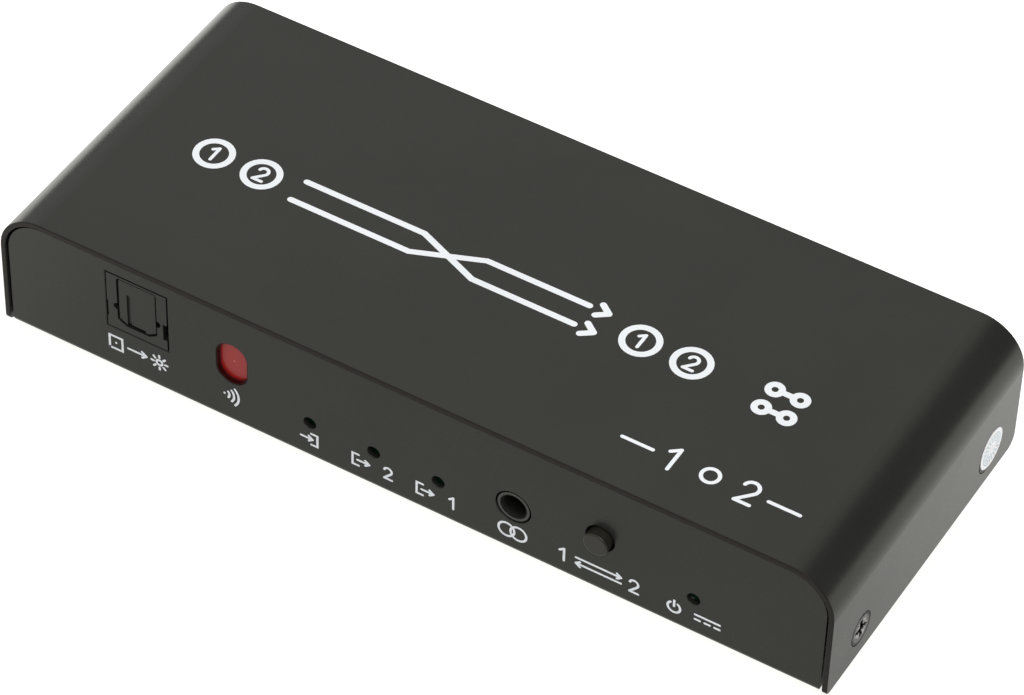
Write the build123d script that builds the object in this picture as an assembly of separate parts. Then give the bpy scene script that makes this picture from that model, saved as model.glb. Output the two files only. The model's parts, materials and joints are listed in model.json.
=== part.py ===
"""Video switch, two inputs to two outputs, in a folded steel case, with optical and analogue sound outputs.

Millimetres, +Z up. The origin is the centre of the footprint, on the surface that the four feet stand on.
The front panel faces -Y and the video sockets face +Y. X runs along the long side, to the front's right.
"""

from build123d import *

import math
import os

# Case: a U-shaped cover, folded down at both ends, over a tray that is front, floor and rear in one
case_width = 130.0
case_depth = 54.0
room_above_sockets = 2.45
sheet = 0.8
edge_round = 0.12
cover_bend_inside = 6.2
tray_fold_inside = 0.4
panel_recess = 0.3
panel_gap = 0.35
panel_corner = 1.2
leg_rise = 0.3
leg_corner_front = 1.0
leg_corner_rear = 2.0
foot_height = 0.7
foot_radius = 4.0
foot_edge = 0.35
foot_from_end = 18.5
foot_from_side = 8.5

# Countersunk screws that hold the cover's legs to the tray's side flanges
cover_screw_from_side = 8.8
cover_screw_height = 5.0
screw_radius = 1.5
screw_length = 5.0
countersunk_head_radius = 2.45
head_rim = 0.15
head_gap = 0.15
thread_gap = 0.05
screw_tip = 0.4
flange_top = 10.7
flange_end = 3.3
flange_relief = 1.0
collar_wall = 0.8
collar_length = 1.2
cross_length = 3.2
cross_width = 0.85
cross_depth = 1.05
cross_end_length = 1.5
cross_end_width = 0.6

# Round seal that hides the rear screw of the right leg
seal_radius = 3.15
seal_thickness = 0.1
seal_offset = 0.8
seal_rise = 0.8

# Circuit board on four clinched standoffs
board_thickness = 1.6
board_end_gap = 1.0
board_edge_gap = 0.4
standoff_height = 3.8
standoff_across = 5.5
standoff_spigot_radius = 2.1
standoff_blind = 1.0
fit_gap = 0.03
standoff_from_board_end = 5.0
standoff_from_board_edge = 5.4
board_hole_radius = 1.7
board_screw_head_radius = 2.75
board_screw_head_height = 1.8
board_screw_crown = 0.9
board_screw_end_gap = 0.2

# Optical socket: a housing whose face fills its cut-out, with a shutter that swings inwards
optical_from_end = 22.35
optical_side_wall = 1.625
optical_roof = 0.3
optical_bore_length = 1.0
optical_cutout_gap = 0.22
optical_plinth = 2.15
optical_cavity_width = 6.5
optical_cavity_height = 8.6
optical_cavity_depth = 10.0
optical_floor_wall = 1.1
optical_chamfer_x = 1.35
optical_chamfer_z = 0.8
optical_corner = 0.45
optical_notch_radius = 0.6
optical_notch_height = 3.1
optical_side_slot_depths = (0.15, 0.65)
optical_side_slot_height = 2.9
optical_side_slot_rise = 1.8
fibre_bore_radius = 1.65
emitter_pocket_depth = 2.5
emitter_width = 5.8
emitter_height = 6.2
emitter_gap = 0.1
emitter_lens_radius = 1.2
emitter_lens_length = 0.6
emitter_bead_radius = 0.9
shutter_recess = 0.12
shutter_thickness = 0.8
shutter_side_gap = 0.28
shutter_foot_gap = 0.22
shutter_pin_radius = 0.3
shutter_pin_set_back = 1.15
shutter_running_gap = 0.05
shutter_knuckle_radius = 0.65
shutter_top_gap = 0.15
shutter_pin_grip = 1.2
shutter_groove_x = -1.35
shutter_groove_width = 0.7
shutter_groove_depth = 0.3
shutter_groove_top = 6.0
shutter_notch_width = 2.6
shutter_notch_height = 0.4
spring_width = 1.8
spring_wire = 0.2
spring_leg = 3.0

# Infrared window and its receiver
window_x = -27.28
window_width = 5.1
window_height = 7.4
window_rise = 5.2
window_flange_margin = 1.4
window_flange_thickness = 0.8
window_lip = 0.12
window_lip_set_back = 0.15
window_fit = 0.04
receiver_width = 5.6
receiver_height = 6.6
receiver_depth = 3.0
receiver_dome_radius = 2.2
receiver_dome_gap = 0.2
receiver_dome_reach = 1.6
lead_pitch = 2.54
lead_width = 0.45

# Indicator lights behind round holes
led_names = ("in", "out_2", "out_1", "power")
led_x = (-14.81, -4.64, 5.52)
power_led_from_end = 20.35
led_hole_radius = 1.0
led_rise = 0.7
led_width = 3.0
led_depth = 1.1
led_set_back = 2.8
led_lens_radius = 0.45
led_lens_length = 0.25

# Stereo jack for a 3.5 mm plug
jack_x = 17.17
jack_hole_gap = 0.25
jack_boss_recess = 0.1
jack_bore_radius = 1.8
jack_bore_length = 11.1
jack_lead_in_flare = 0.2
jack_lead_in_length = 0.9
jack_body_width = 6.0
jack_body_height = 5.0
jack_body_gap = 0.6
jack_end_wall = 1.3
jack_leaf_gap = 0.14
jack_leaf_thickness = 0.25
jack_leaf_width = 1.0
jack_leaf_length = 2.6
jack_slot_gap = 0.2

# Select button, a right-angle push switch whose round actuator comes out through the panel
select_x = 30.4
select_hole_radius = 2.2
select_button_radius = 1.85
select_proud = 1.4
select_travel = 0.3
select_edge = 0.25
select_axis_rise = 4.1
select_body_width = 6.2
select_body_height = 7.3
select_body_depth = 3.6
select_body_gap = 1.4
select_front_wall = 1.0
select_bore_gap = 0.08
select_collar_width = 0.45
select_collar_thickness = 0.6
select_pocket_gap = 0.2
select_rear_wall = 1.0
select_frame_sheet = 0.25
select_frame_inset = 0.4
dome_thickness = 0.12
dome_clear = 0.08

# Video sockets, four alike, with nineteen contacts each
socket_names = ("out_2", "out_1", "in_2", "in_1")
socket_x = (-36.5, -15.5, 5.5, 26.5)
socket_opening_width = 14.0
socket_opening_height = 4.55
socket_slant_x = 1.9
socket_slant_z = 1.6
socket_shell_sheet = 0.35
socket_proud = 0.3
socket_length = 12.0
socket_cutout_gap = 0.3
socket_block_length = 4.0
socket_block_gap = 0.05
socket_block_tail = 0.9
tongue_width = 11.6
tongue_thickness = 1.5
tongue_set_back = 0.8
tongue_rise = 1.75
contact_pitch = 1.0
contact_width = 0.35
contact_thickness = 0.12
contact_set_back = 0.7
contacts_above = 10
contacts_below = 9

# Power socket for a 5.5 mm barrel plug
power_from_end = 19.5
power_width = 9.0
power_height = 11.0
power_length = 13.5
power_axis_rise = 6.4
power_collar_radius = 3.95
power_hole_gap = 0.15
power_bore_radius = 3.15
power_bore_length = 9.5
power_pin_radius = 1.0
power_pin_root_radius = 1.3
power_pin_set_back = 0.9
power_pin_nose = 0.5
power_leaf_thickness = 0.3
power_leaf_width = 2.4

# Parts on the board, placed by their centres
main_chip_x = -5.0
main_chip_y = 1.0
main_chip_side = 14.0
main_chip_height = 1.0
pad_thickness = 0.5
sink_base = 1.2
sink_height = 6.0
sink_fins = 6
sink_fin_thickness = 1.0
sound_chip_x = -31.0
sound_chip_y = -3.0
sound_chip_side = 9.0
control_chip_x = 18.0
control_chip_y = -4.0
control_chip_side = 7.0
leaded_chip_height = 1.2
leaded_chip_rise = 0.15
chip_lead_pitch = 0.8
chip_lead_width = 0.3
chip_lead_reach = 1.0
chip_lead_thickness = 0.15
regulator_x = 33.5
regulator_y = -6.0
regulator_size = (6.5, 3.5, 1.7)
regulator_tab_width = 3.0
regulator_lead_width = 0.7
regulator_lead_pitch = 2.3
regulator_reach = 1.6
regulator_lead_thickness = 0.3
coil_x = 33.0
coil_y = 3.5
coil_side = 6.0
coil_height = 3.0
coil_chamfer = 1.0
can_places = ((44.0, -8.0), (44.5, 1.0), (-49.0, 3.0))
can_radius = 3.15
can_height = 5.2
can_base_side = 6.6
can_base_height = 0.9
can_base_chamfer = 1.1
can_groove = 0.25
crystal_x = 7.5
crystal_y = -9.0
crystal_length = 10.5
crystal_width = 4.2
crystal_height = 3.3
resistor_size = (1.6, 0.8, 0.45)
ceramic_size = (2.0, 1.25, 0.9)
small_pitch = 2.6
small_row_gap = 2.4

# Levels and faces that follow from the sizes above
half_width = case_width / 2
half_depth = case_depth / 2
cover_edge = foot_height + leg_rise
tray_floor = foot_height + sheet
board_bottom = tray_floor + standoff_height
board_top = board_bottom + board_thickness
front_face = -(half_depth - panel_recess)
front_inside = front_face + sheet
rear_face = -front_face
rear_inside = rear_face - sheet
board_front = front_inside + board_edge_gap
board_rear = rear_inside - board_edge_gap
panel_half = half_width - sheet - panel_gap
countersink_radius = countersunk_head_radius + head_gap + fit_gap
clearance_radius = screw_radius + head_gap
dimple_depth = head_rim + countersink_radius - clearance_radius
flange_face = half_width - dimple_depth
cover_screw_y = half_depth - cover_screw_from_side
cover_screw_z = cover_edge + cover_screw_height
flange_half_length = cover_screw_y + flange_end
foot_x = half_width - foot_from_end
foot_y = half_depth - foot_from_side
board_half_length = half_width - screw_length - board_end_gap
standoff_x = board_half_length - standoff_from_board_end
standoff_y = board_rear - standoff_from_board_edge
board_screw_length = board_top - foot_height - standoff_blind - board_screw_end_gap
optical_x = optical_from_end - half_width
led_places = (*led_x, half_width - power_led_from_end)
optical_width = optical_cavity_width + 2 * optical_side_wall
optical_height = optical_floor_wall + optical_cavity_height + optical_roof
optical_depth = optical_cavity_depth + optical_bore_length + emitter_pocket_depth
optical_bottom = board_top + optical_plinth
optical_top = optical_bottom + optical_height
cover_top = optical_top + room_above_sockets + sheet
panel_top = cover_top - sheet - panel_gap
optical_rear = front_face + optical_depth
cavity_bottom = optical_bottom + optical_floor_wall
cavity_top = cavity_bottom + optical_cavity_height
cavity_rear = front_face + optical_cavity_depth
shutter_face = front_face + shutter_recess
shutter_pin_y = shutter_face + shutter_pin_set_back
shutter_pin_z = cavity_top - shutter_top_gap - shutter_knuckle_radius
fibre_z = cavity_bottom + optical_cavity_height / 2
window_z = board_top + window_rise
jack_boss_radius = jack_body_height / 2
jack_hole_radius = jack_boss_radius + jack_hole_gap
jack_z = board_top + jack_boss_radius
jack_front = front_face + jack_boss_recess
jack_body_front = front_inside + jack_body_gap
jack_bore_end = jack_front + jack_bore_length
select_z = board_top + select_axis_rise
select_body_front = front_inside + select_body_gap
select_body_rear = select_body_front + select_body_depth
led_z = board_top + led_rise
socket_mouth = rear_face + socket_proud
socket_back = socket_mouth - socket_length
socket_bottom = board_top + socket_shell_sheet
power_x = half_width - power_from_end
power_z = board_top + power_axis_rise
power_front = rear_face
power_body_rear = rear_inside - fit_gap
power_back = power_front - power_length
small = 1.0


def block(x0, x1, y0, y1, z0, z1):
    """Box between two corners."""
    middle = Pos((x0 + x1) / 2, (y0 + y1) / 2, (z0 + z1) / 2)
    return middle * Box(abs(x1 - x0), abs(y1 - y0), abs(z1 - z0))


def box_on(x, y, z, width, depth, height):
    """Box centred on (x, y) that stands on the level z."""
    return block(x - width / 2, x + width / 2, y - depth / 2, y + depth / 2, z, z + height)


def rod_x(radius, x0, x1, y, z):
    """Round bar along X."""
    return Pos((x0 + x1) / 2, y, z) * Rot(0, 90, 0) * Cylinder(radius, x1 - x0)


def rod_y(radius, y0, y1, x, z):
    """Round bar along Y."""
    return Pos(x, (y0 + y1) / 2, z) * Rot(90, 0, 0) * Cylinder(radius, y1 - y0)


def rod_z(radius, z0, z1, x, y):
    """Round bar along Z."""
    return Pos(x, y, (z0 + z1) / 2) * Cylinder(radius, z1 - z0)


def outline(points):
    """Flat face inside a closed line of points."""
    return make_face(Polyline(*points, close=True))


def prism_y(face, y0, y1):
    """Face drawn in X and Z, carried along Y from y0 to y1."""
    plane = Plane(origin=(0, y1, 0), x_dir=(1, 0, 0), z_dir=(0, -1, 0))
    return extrude(plane * face, amount=y1 - y0)


def prism_x(face, x0, x1):
    """Face drawn in Y and Z, carried along X from x0 to x1."""
    plane = Plane(origin=(x0, 0, 0), x_dir=(0, 1, 0), z_dir=(1, 0, 0))
    return extrude(plane * face, amount=x1 - x0)


def turned(points):
    """Solid of revolution about Z, from points of (radius, height)."""
    return revolve(Plane.XZ * outline(points), axis=Axis.Z)


def cross_recess():
    """Cross-shaped driver recess, cut down from the plane z = 0: two tapered wings and a centre cone."""
    wing = Solid.make_loft(
        [
            Wire.make_polygon(cross_corners(cross_length, cross_width, 0), close=True),
            Wire.make_polygon(
                cross_corners(cross_end_length, cross_end_width, -cross_depth), close=True
            ),
        ]
    )
    return wing + Rot(0, 0, 90) * wing


def cross_corners(length, width, z):
    """Corners of one wing's rectangle at the level z."""
    return [
        Vector(-length / 2, -width / 2, z),
        Vector(length / 2, -width / 2, z),
        Vector(length / 2, width / 2, z),
        Vector(-length / 2, width / 2, z),
    ]


def countersunk_screw():
    """Countersunk screw with its head's face on z = 0 and its tip down."""
    radius = countersunk_head_radius
    cone_end = head_rim + radius - screw_radius
    body = turned(
        [
            (0, 0),
            (radius, 0),
            (radius, -head_rim),
            (screw_radius, -cone_end),
            (screw_radius, screw_tip - screw_length),
            (screw_radius - screw_tip, -screw_length),
            (0, -screw_length),
        ]
    )
    return body - cross_recess()


def pan_screw():
    """Pan-head screw with the underside of its head on z = 0."""
    radius = board_screw_head_radius
    height = board_screw_head_height
    rim = board_screw_crown
    body = turned(
        [
            (0, height),
            (radius - rim, height),
            (radius, height - rim),
            (radius, 0),
            (screw_radius, 0),
            (screw_radius, screw_tip - board_screw_length),
            (screw_radius - screw_tip, -board_screw_length),
            (0, -board_screw_length),
        ]
    )
    return body - Pos(0, 0, height) * cross_recess()


def corners(x, y):
    """The four places (+-x, +-y)."""
    return [(sx * x, sy * y) for sx in (-1, 1) for sy in (-1, 1)]


def cover_screw_place(sign, y):
    """Frame of a cover screw's head face: local +Z points out of the leg on that side."""
    return Pos(sign * half_width, y, cover_screw_z) * Rot(0, sign * 90, 0)


def dimple():
    """Pressed countersink of the cover: a cone of sheet that ends on the tray's flange. Face on z = 0."""
    across = sheet * math.sqrt(2)
    return turned(
        [
            (countersink_radius, 0),
            (countersink_radius, -head_rim),
            (clearance_radius, -dimple_depth),
            (clearance_radius + across, -dimple_depth),
            (clearance_radius + across + dimple_depth - sheet, -sheet),
            (clearance_radius + across + dimple_depth - sheet, 0),
        ]
    )


def top_cover():
    """Cover: a top and two legs in one folded sheet, open at the front, rear and bottom."""
    outer = block(
        -half_width, half_width, -half_depth, half_depth, cover_edge, cover_top
    )
    outer = fillet(
        outer.edges().filter_by(Axis.Y).group_by(Axis.Z)[-1], cover_bend_inside + sheet
    )
    inner = block(
        sheet - half_width,
        half_width - sheet,
        -case_depth,
        case_depth,
        cover_edge - small,
        cover_top - sheet,
    )
    inner = fillet(inner.edges().filter_by(Axis.Y).group_by(Axis.Z)[-1], cover_bend_inside)
    cover = outer - inner
    low_edges = cover.edges().filter_by(Axis.X).group_by(Axis.Y)[0].group_by(Axis.Z)
    cover = fillet(low_edges[0], leg_corner_front)
    low_edges = cover.edges().filter_by(Axis.X).group_by(Axis.Y)[-1].group_by(Axis.Z)
    cover = fillet(low_edges[0], leg_corner_rear)
    cover = fillet(cover_rim(cover), edge_round)
    for sign in (-1, 1):
        for y in (-cover_screw_y, cover_screw_y):
            place = cover_screw_place(sign, y)
            cover -= place * Cylinder(countersink_radius + head_gap, 2 * sheet + small)
            cover += place * dimple()
    return cover


def cover_rim(cover):
    """Edges of the cover's outline: all but the lines where its flats run into its bends and corners."""
    corner_ends = cover.edges().filter_by(Axis.X).filter_by(lambda edge: edge.length < 2 * sheet)
    bend_ends = cover.edges().filter_by(Axis.Y).filter_by(
        lambda edge: edge.center().Z > cover_edge + small
    )
    return cover.edges() - corner_ends - bend_ends


def tray_shell():
    """Tray before its holes: the front, floor and rear folded from one sheet, with the panels' outline."""
    fold = tray_fold_inside + sheet
    outer = block(-panel_half, panel_half, front_face, rear_face, foot_height, panel_top)
    outer = fillet(outer.edges().filter_by(Axis.X).group_by(Axis.Z)[0], fold)
    inner = block(
        -half_width, half_width, front_inside, rear_inside, tray_floor, panel_top + small
    )
    inner = fillet(inner.edges().filter_by(Axis.X).group_by(Axis.Z)[0], tray_fold_inside)
    face = block(-panel_half, panel_half, -case_depth, case_depth, foot_height, panel_top)
    long_edges = face.edges().filter_by(Axis.Y).group_by(Axis.Z)
    face = fillet(long_edges[-1], cover_bend_inside - panel_gap)
    face = fillet(face.edges().filter_by(Axis.Y).group_by(Axis.Z)[0], panel_corner)
    return (outer - inner) & face


def side_flange(sign):
    """Flange that folds up from the floor's end and carries two tapped collars for the cover's screws."""
    fold = tray_fold_inside + sheet
    root = flange_face - fold - small
    half = flange_half_length
    outer = block(root, flange_face, -half, half, foot_height, cover_edge + flange_top)
    outer = fillet(
        outer.edges().filter_by(Axis.Y).group_by(Axis.Z)[0].sort_by(Axis.X)[-1], fold
    )
    inner = block(
        root - small, flange_face - sheet, -case_depth, case_depth, tray_floor, cover_top
    )
    inner = fillet(
        inner.edges().filter_by(Axis.Y).group_by(Axis.Z)[0].sort_by(Axis.X)[-1],
        tray_fold_inside,
    )
    flange = outer - inner
    bore = screw_radius + thread_gap
    collar_end = flange_face - sheet - collar_length
    for y in (-cover_screw_y, cover_screw_y):
        flange += rod_x(bore + collar_wall, collar_end, flange_face - sheet, y, cover_screw_z)
        flange -= rod_x(bore, collar_end - small, flange_face + small, y, cover_screw_z)
    return flange if sign > 0 else mirror(flange, about=Plane.YZ)


def front_cutouts():
    """Everything cut through the front panel."""
    y0 = front_face - small
    y1 = front_inside + small
    gap = optical_cutout_gap
    half = optical_width / 2 + gap
    cuts = [
        block(
            optical_x - half,
            optical_x + half,
            y0,
            y1,
            optical_bottom - gap,
            optical_top + gap,
        ),
        prism_y(
            Pos(window_x, window_z) * Rot(0, 0, 90) * SlotOverall(window_height, window_width),
            y0,
            y1,
        ),
        rod_y(jack_hole_radius, y0, y1, jack_x, jack_z),
        rod_y(select_hole_radius, y0, y1, select_x, select_z),
    ]
    return cuts + [rod_y(led_hole_radius, y0, y1, x, led_z) for x in led_places]


def socket_face(grow):
    """Outline of a video socket's opening, wider at the top, grown by a margin all round."""
    half = socket_opening_width / 2
    top = socket_bottom + socket_opening_height
    points = [
        (-half, top),
        (-half, socket_bottom + socket_slant_z),
        (socket_slant_x - half, socket_bottom),
        (half - socket_slant_x, socket_bottom),
        (half, socket_bottom + socket_slant_z),
        (half, top),
    ]
    face = outline(points)
    return offset(face, amount=grow, kind=Kind.INTERSECTION) if grow else face


def rear_cutouts():
    """Everything cut through the rear panel."""
    y0 = rear_inside - small
    y1 = rear_face + small
    hole = socket_face(socket_shell_sheet + socket_cutout_gap)
    cuts = [Pos(x, 0, 0) * prism_y(hole, y0, y1) for x in socket_x]
    return cuts + [rod_y(power_collar_radius + power_hole_gap, y0, y1, power_x, power_z)]


def punched_edges(tray):
    """Outer edges of the cut-outs in the front and rear panels, rounded by the punch and the coating."""
    across = tray.faces().filter_by(Axis.Y).sort_by(Axis.Y)
    rims = [rim for panel in (across[0], across[-1]) for rim in panel.inner_wires()]
    return [edge for rim in rims for edge in rim.edges()]


def base_tray():
    """Front panel, floor and rear panel in one folded sheet, with a flange up each end of the floor."""
    tray = tray_shell()
    strip = flange_half_length + flange_relief
    inner_x = flange_face - tray_fold_inside - sheet
    for sign in (-1, 1):
        tray -= block(
            sign * inner_x, sign * half_width, -strip, strip, foot_height - small, tray_floor + small
        )
        tray += side_flange(sign)
    for cut in front_cutouts() + rear_cutouts():
        tray -= cut
    tray = fillet(punched_edges(tray), edge_round)
    for x, y in corners(standoff_x, standoff_y):
        tray -= rod_z(standoff_spigot_radius + fit_gap, foot_height - small, tray_floor + small, x, y)
    return tray


def foot():
    """Self-adhesive rubber foot with a rounded lower rim, standing on z = 0."""
    body = Pos(0, 0, foot_height / 2) * Cylinder(foot_radius, foot_height)
    return fillet(body.edges().group_by(Axis.Z)[0], foot_edge)


def standoff():
    """Hexagonal clinched standoff, from the tray's underside to the board, tapped from above."""
    height = board_bottom - tray_floor
    hexagon = RegularPolygon(standoff_across / 2, 6, major_radius=False)
    body = Pos(0, 0, tray_floor) * extrude(hexagon, amount=height)
    body += rod_z(standoff_spigot_radius, foot_height, tray_floor, 0, 0)
    return body - rod_z(
        screw_radius + thread_gap, foot_height + standoff_blind, board_bottom + small, 0, 0
    )


def main_board():
    """Circuit board with four screw holes."""
    board = block(
        -board_half_length, board_half_length, board_front, board_rear, board_bottom, board_top
    )
    for x, y in corners(standoff_x, standoff_y):
        board -= rod_z(board_hole_radius, board_bottom - small, board_top + small, x, y)
    return board


def cavity_face(gap, low_gap):
    """Optical opening's outline, its lower corners cut off, drawn in by one gap and by another from below."""
    half = optical_cavity_width / 2 - gap
    low = cavity_bottom + low_gap
    points = [
        (-half, cavity_top - gap),
        (-half, low + optical_chamfer_z),
        (optical_chamfer_x - half, low),
        (half - optical_chamfer_x, low),
        (half, low + optical_chamfer_z),
        (half, cavity_top - gap),
    ]
    face = outline(points)
    return fillet(face.vertices(), optical_corner - gap)


def optical_housing():
    """Moulded housing of the optical socket, with its plinth on the board."""
    half = optical_width / 2
    body = block(-half, half, front_face, optical_rear, optical_bottom, optical_top)
    body += block(-half, half, board_front, optical_rear, board_top, optical_bottom + small)
    body -= prism_y(cavity_face(0, 0), front_face - small, cavity_rear)
    notch_z = cavity_bottom + optical_notch_height
    for side, slot_depth in zip((-1, 1), optical_side_slot_depths):
        notch_x = side * optical_cavity_width / 2
        body -= rod_y(optical_notch_radius, front_face - small, cavity_rear, notch_x, notch_z)
        slot_z = optical_bottom + optical_side_slot_rise
        body -= block(
            side * (half - slot_depth),
            side * (half + small),
            front_face - small,
            optical_rear + small,
            slot_z,
            slot_z + optical_side_slot_height,
        )
    body -= rod_y(fibre_bore_radius, cavity_rear - small, optical_rear + small, 0, fibre_z)
    pocket_x = emitter_width / 2 + emitter_gap
    pocket_z = emitter_height / 2 + emitter_gap
    body -= block(
        -pocket_x,
        pocket_x,
        optical_rear - emitter_pocket_depth,
        optical_rear + small,
        fibre_z - pocket_z,
        fibre_z + pocket_z,
    )
    reach = optical_cavity_width / 2 + shutter_pin_grip
    body -= rod_x(shutter_pin_radius + fit_gap, -reach, half + small, shutter_pin_y, shutter_pin_z)
    return Pos(optical_x, 0, 0) * body


def optical_shutter():
    """Door of the optical socket: a plate on two knuckles, with a groove and a notch for a fingernail."""
    half = optical_cavity_width / 2 - shutter_side_gap
    y0 = shutter_face
    y1 = y0 + shutter_thickness
    door = prism_y(cavity_face(shutter_side_gap, shutter_foot_gap), y0, y1)
    door += rod_x(shutter_knuckle_radius, -half, half, shutter_pin_y, shutter_pin_z)
    middle = spring_width / 2 + shutter_side_gap
    room = shutter_knuckle_radius + shutter_top_gap
    door -= rod_x(room, -middle, middle, shutter_pin_y, shutter_pin_z)
    door -= rod_x(
        shutter_pin_radius + shutter_running_gap,
        -half - small,
        half + small,
        shutter_pin_y,
        shutter_pin_z,
    )
    groove = shutter_groove_width / 2
    door -= block(
        shutter_groove_x - groove,
        shutter_groove_x + groove,
        y0 - small,
        y0 + shutter_groove_depth,
        cavity_bottom,
        cavity_bottom + shutter_groove_top,
    )
    door -= block(
        shutter_groove_x,
        shutter_groove_x + shutter_notch_width,
        y0 - small,
        y1 + small,
        cavity_bottom,
        cavity_bottom + shutter_foot_gap + shutter_notch_height,
    )
    return Pos(optical_x, 0, 0) * door


def shutter_pin():
    """Steel pin that the shutter turns on."""
    reach = optical_cavity_width / 2 + shutter_pin_grip
    return rod_x(
        shutter_pin_radius, optical_x - reach, optical_x + reach, shutter_pin_y, shutter_pin_z
    )


def shutter_spring():
    """Return spring's coil round the pin, with the leg that lies under the housing's ceiling."""
    inner = shutter_pin_radius + 2 * shutter_running_gap
    outer = inner + spring_wire
    half = spring_width / 2
    coil = rod_x(outer, -half, half, shutter_pin_y, shutter_pin_z)
    leg = block(
        -spring_wire / 2,
        spring_wire / 2,
        shutter_pin_y,
        shutter_pin_y + spring_leg,
        shutter_pin_z + inner,
        shutter_pin_z + outer,
    )
    coil = (coil + leg) - rod_x(inner, -half - small, half + small, shutter_pin_y, shutter_pin_z)
    return Pos(optical_x, 0, 0) * coil


def optical_emitter():
    """Light source in the housing's rear pocket, with its lens in the fibre's bore."""
    front = optical_rear - emitter_pocket_depth
    body = block(
        -emitter_width / 2,
        emitter_width / 2,
        front,
        optical_rear - emitter_gap,
        fibre_z - emitter_height / 2,
        fibre_z + emitter_height / 2,
    )
    lens_front = front - emitter_lens_length
    body += rod_y(emitter_lens_radius, lens_front, front, 0, fibre_z)
    bead = Pos(0, lens_front, fibre_z) * Sphere(emitter_bead_radius)
    return Pos(optical_x, 0, 0) * (body + bead)


def bent_lead(width, y_from, y_to, z_from, thickness):
    """Lead that leaves a body along Y at the level z_from and goes down to the board at y_to."""
    step = thickness if y_to > y_from else -thickness
    points = [
        (y_from, z_from),
        (y_to, z_from),
        (y_to, board_top),
        (y_to - step, board_top),
        (y_to - step, z_from - thickness),
        (y_from, z_from - thickness),
    ]
    return prism_x(outline(points), -width / 2, width / 2)


def optical_leads():
    """Three leads from the light source's back down to the board."""
    start = optical_rear - emitter_gap
    lead = bent_lead(lead_width, start, start + 2 * lead_width, fibre_z, lead_width)
    pitch = (emitter_width - lead_width) / 2 - emitter_gap
    return [Pos(optical_x + i * pitch, 0, 0) * lead for i in (-1, 0, 1)]


def ir_window():
    """Red window: a flange behind the panel and a thin lip that lines the hole in it."""
    flange = SlotOverall(
        window_height + 2 * window_flange_margin, window_width + 2 * window_flange_margin
    )
    hole = SlotOverall(window_height - 2 * window_fit, window_width - 2 * window_fit)
    edge = window_fit + window_lip
    clear = SlotOverall(window_height - 2 * edge, window_width - 2 * edge)
    upright = Pos(window_x, window_z) * Rot(0, 0, 90)
    body = prism_y(upright * flange, front_inside, front_inside + window_flange_thickness)
    lip_front = front_face + window_lip_set_back
    lip = prism_y(upright * hole, lip_front, front_inside)
    return body + (lip - prism_y(upright * clear, lip_front - small, front_inside))


def receiver_front():
    """Y of the receiver's flat front, behind its dome."""
    window_back = front_inside + window_flange_thickness
    return window_back + receiver_dome_gap + receiver_dome_reach


def ir_receiver():
    """Infrared receiver that faces the window with its dome."""
    front = receiver_front()
    body = block(
        window_x - receiver_width / 2,
        window_x + receiver_width / 2,
        front,
        front + receiver_depth,
        window_z - receiver_height / 2,
        window_z + receiver_height / 2,
    )
    centre = front - receiver_dome_reach + receiver_dome_radius
    return body + Pos(window_x, centre, window_z) * Sphere(receiver_dome_radius)


def ir_receiver_leads():
    """Three straight leads from the receiver down to the board."""
    y = receiver_front() + receiver_depth / 2
    length = window_z - receiver_height / 2 - board_top
    pitch = (receiver_width - lead_width) / 2
    return [
        box_on(window_x + i * min(lead_pitch, pitch), y, board_top, lead_width, lead_width, length)
        for i in (-1, 0, 1)
    ]


def indicator(x):
    """Side-looking light on the board, its lens towards the panel's hole."""
    front = front_inside + led_set_back
    body = box_on(x, front + led_depth / 2, board_top, led_width, led_depth, 2 * led_rise)
    return body + rod_y(led_lens_radius, front - led_lens_length, front, x, led_z)


def leaf_span(index):
    """Y range of a jack contact's leaf, counted from the mouth."""
    start = jack_body_front + jack_end_wall + index * (jack_leaf_length + 2 * jack_slot_gap)
    return start + jack_slot_gap, start + jack_slot_gap + jack_leaf_length


def leaf_reach():
    """Distance of a contact's leaf from the jack's axis, just outside the plug's path."""
    return jack_bore_radius - jack_leaf_gap


def audio_jack_housing():
    """Moulded jack: a round boss through the panel, a block behind it and the plug's bore."""
    half = jack_body_width / 2
    body = block(
        -half, half, jack_body_front, jack_bore_end + jack_end_wall, board_top, board_top + jack_body_height
    )
    body += rod_y(jack_boss_radius, jack_front, jack_body_front + small, 0, jack_z)
    body -= rod_y(jack_bore_radius, jack_front - small, jack_bore_end, 0, jack_z)
    mouth = Plane(origin=(0, jack_front, jack_z), x_dir=(1, 0, 0), z_dir=(0, 1, 0))
    wide = jack_bore_radius + jack_lead_in_flare
    deep = jack_lead_in_length
    cone = turned([(0, 0), (wide, 0), (jack_bore_radius, deep), (0, deep)])
    body -= mouth * cone
    slot_half = jack_leaf_width / 2 + jack_slot_gap
    for index, side in enumerate((1, -1, 1)):
        y0, y1 = leaf_span(index)
        body -= block(
            0,
            side * (half + small),
            y0 - jack_slot_gap,
            y1 + jack_slot_gap,
            jack_z - slot_half,
            jack_z + slot_half,
        )
    return Pos(jack_x, 0, 0) * body


def audio_jack_contacts():
    """Tip, ring and sleeve springs: a leaf beside the bore, an arm out through the wall and a leg down."""
    half = jack_body_width / 2
    near = leaf_reach()
    out = half + jack_slot_gap
    leaves = []
    for index, side in enumerate((1, -1, 1)):
        y0, y1 = leaf_span(index)
        z0 = jack_z - jack_leaf_width / 2
        z1 = jack_z + jack_leaf_width / 2
        leaf = block(side * near, side * (near + jack_leaf_thickness), y0, y1, z0, z1)
        arm_start = y1 - jack_leaf_thickness
        leaf += block(side * near, side * (out + jack_leaf_thickness), arm_start, y1, z0, z1)
        leg_start = y1 - jack_leaf_width
        leaf += block(
            side * out, side * (out + jack_leaf_thickness), leg_start, y1, board_top, z1
        )
        leaves.append(Pos(jack_x, 0, 0) * leaf)
    return leaves


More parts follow.
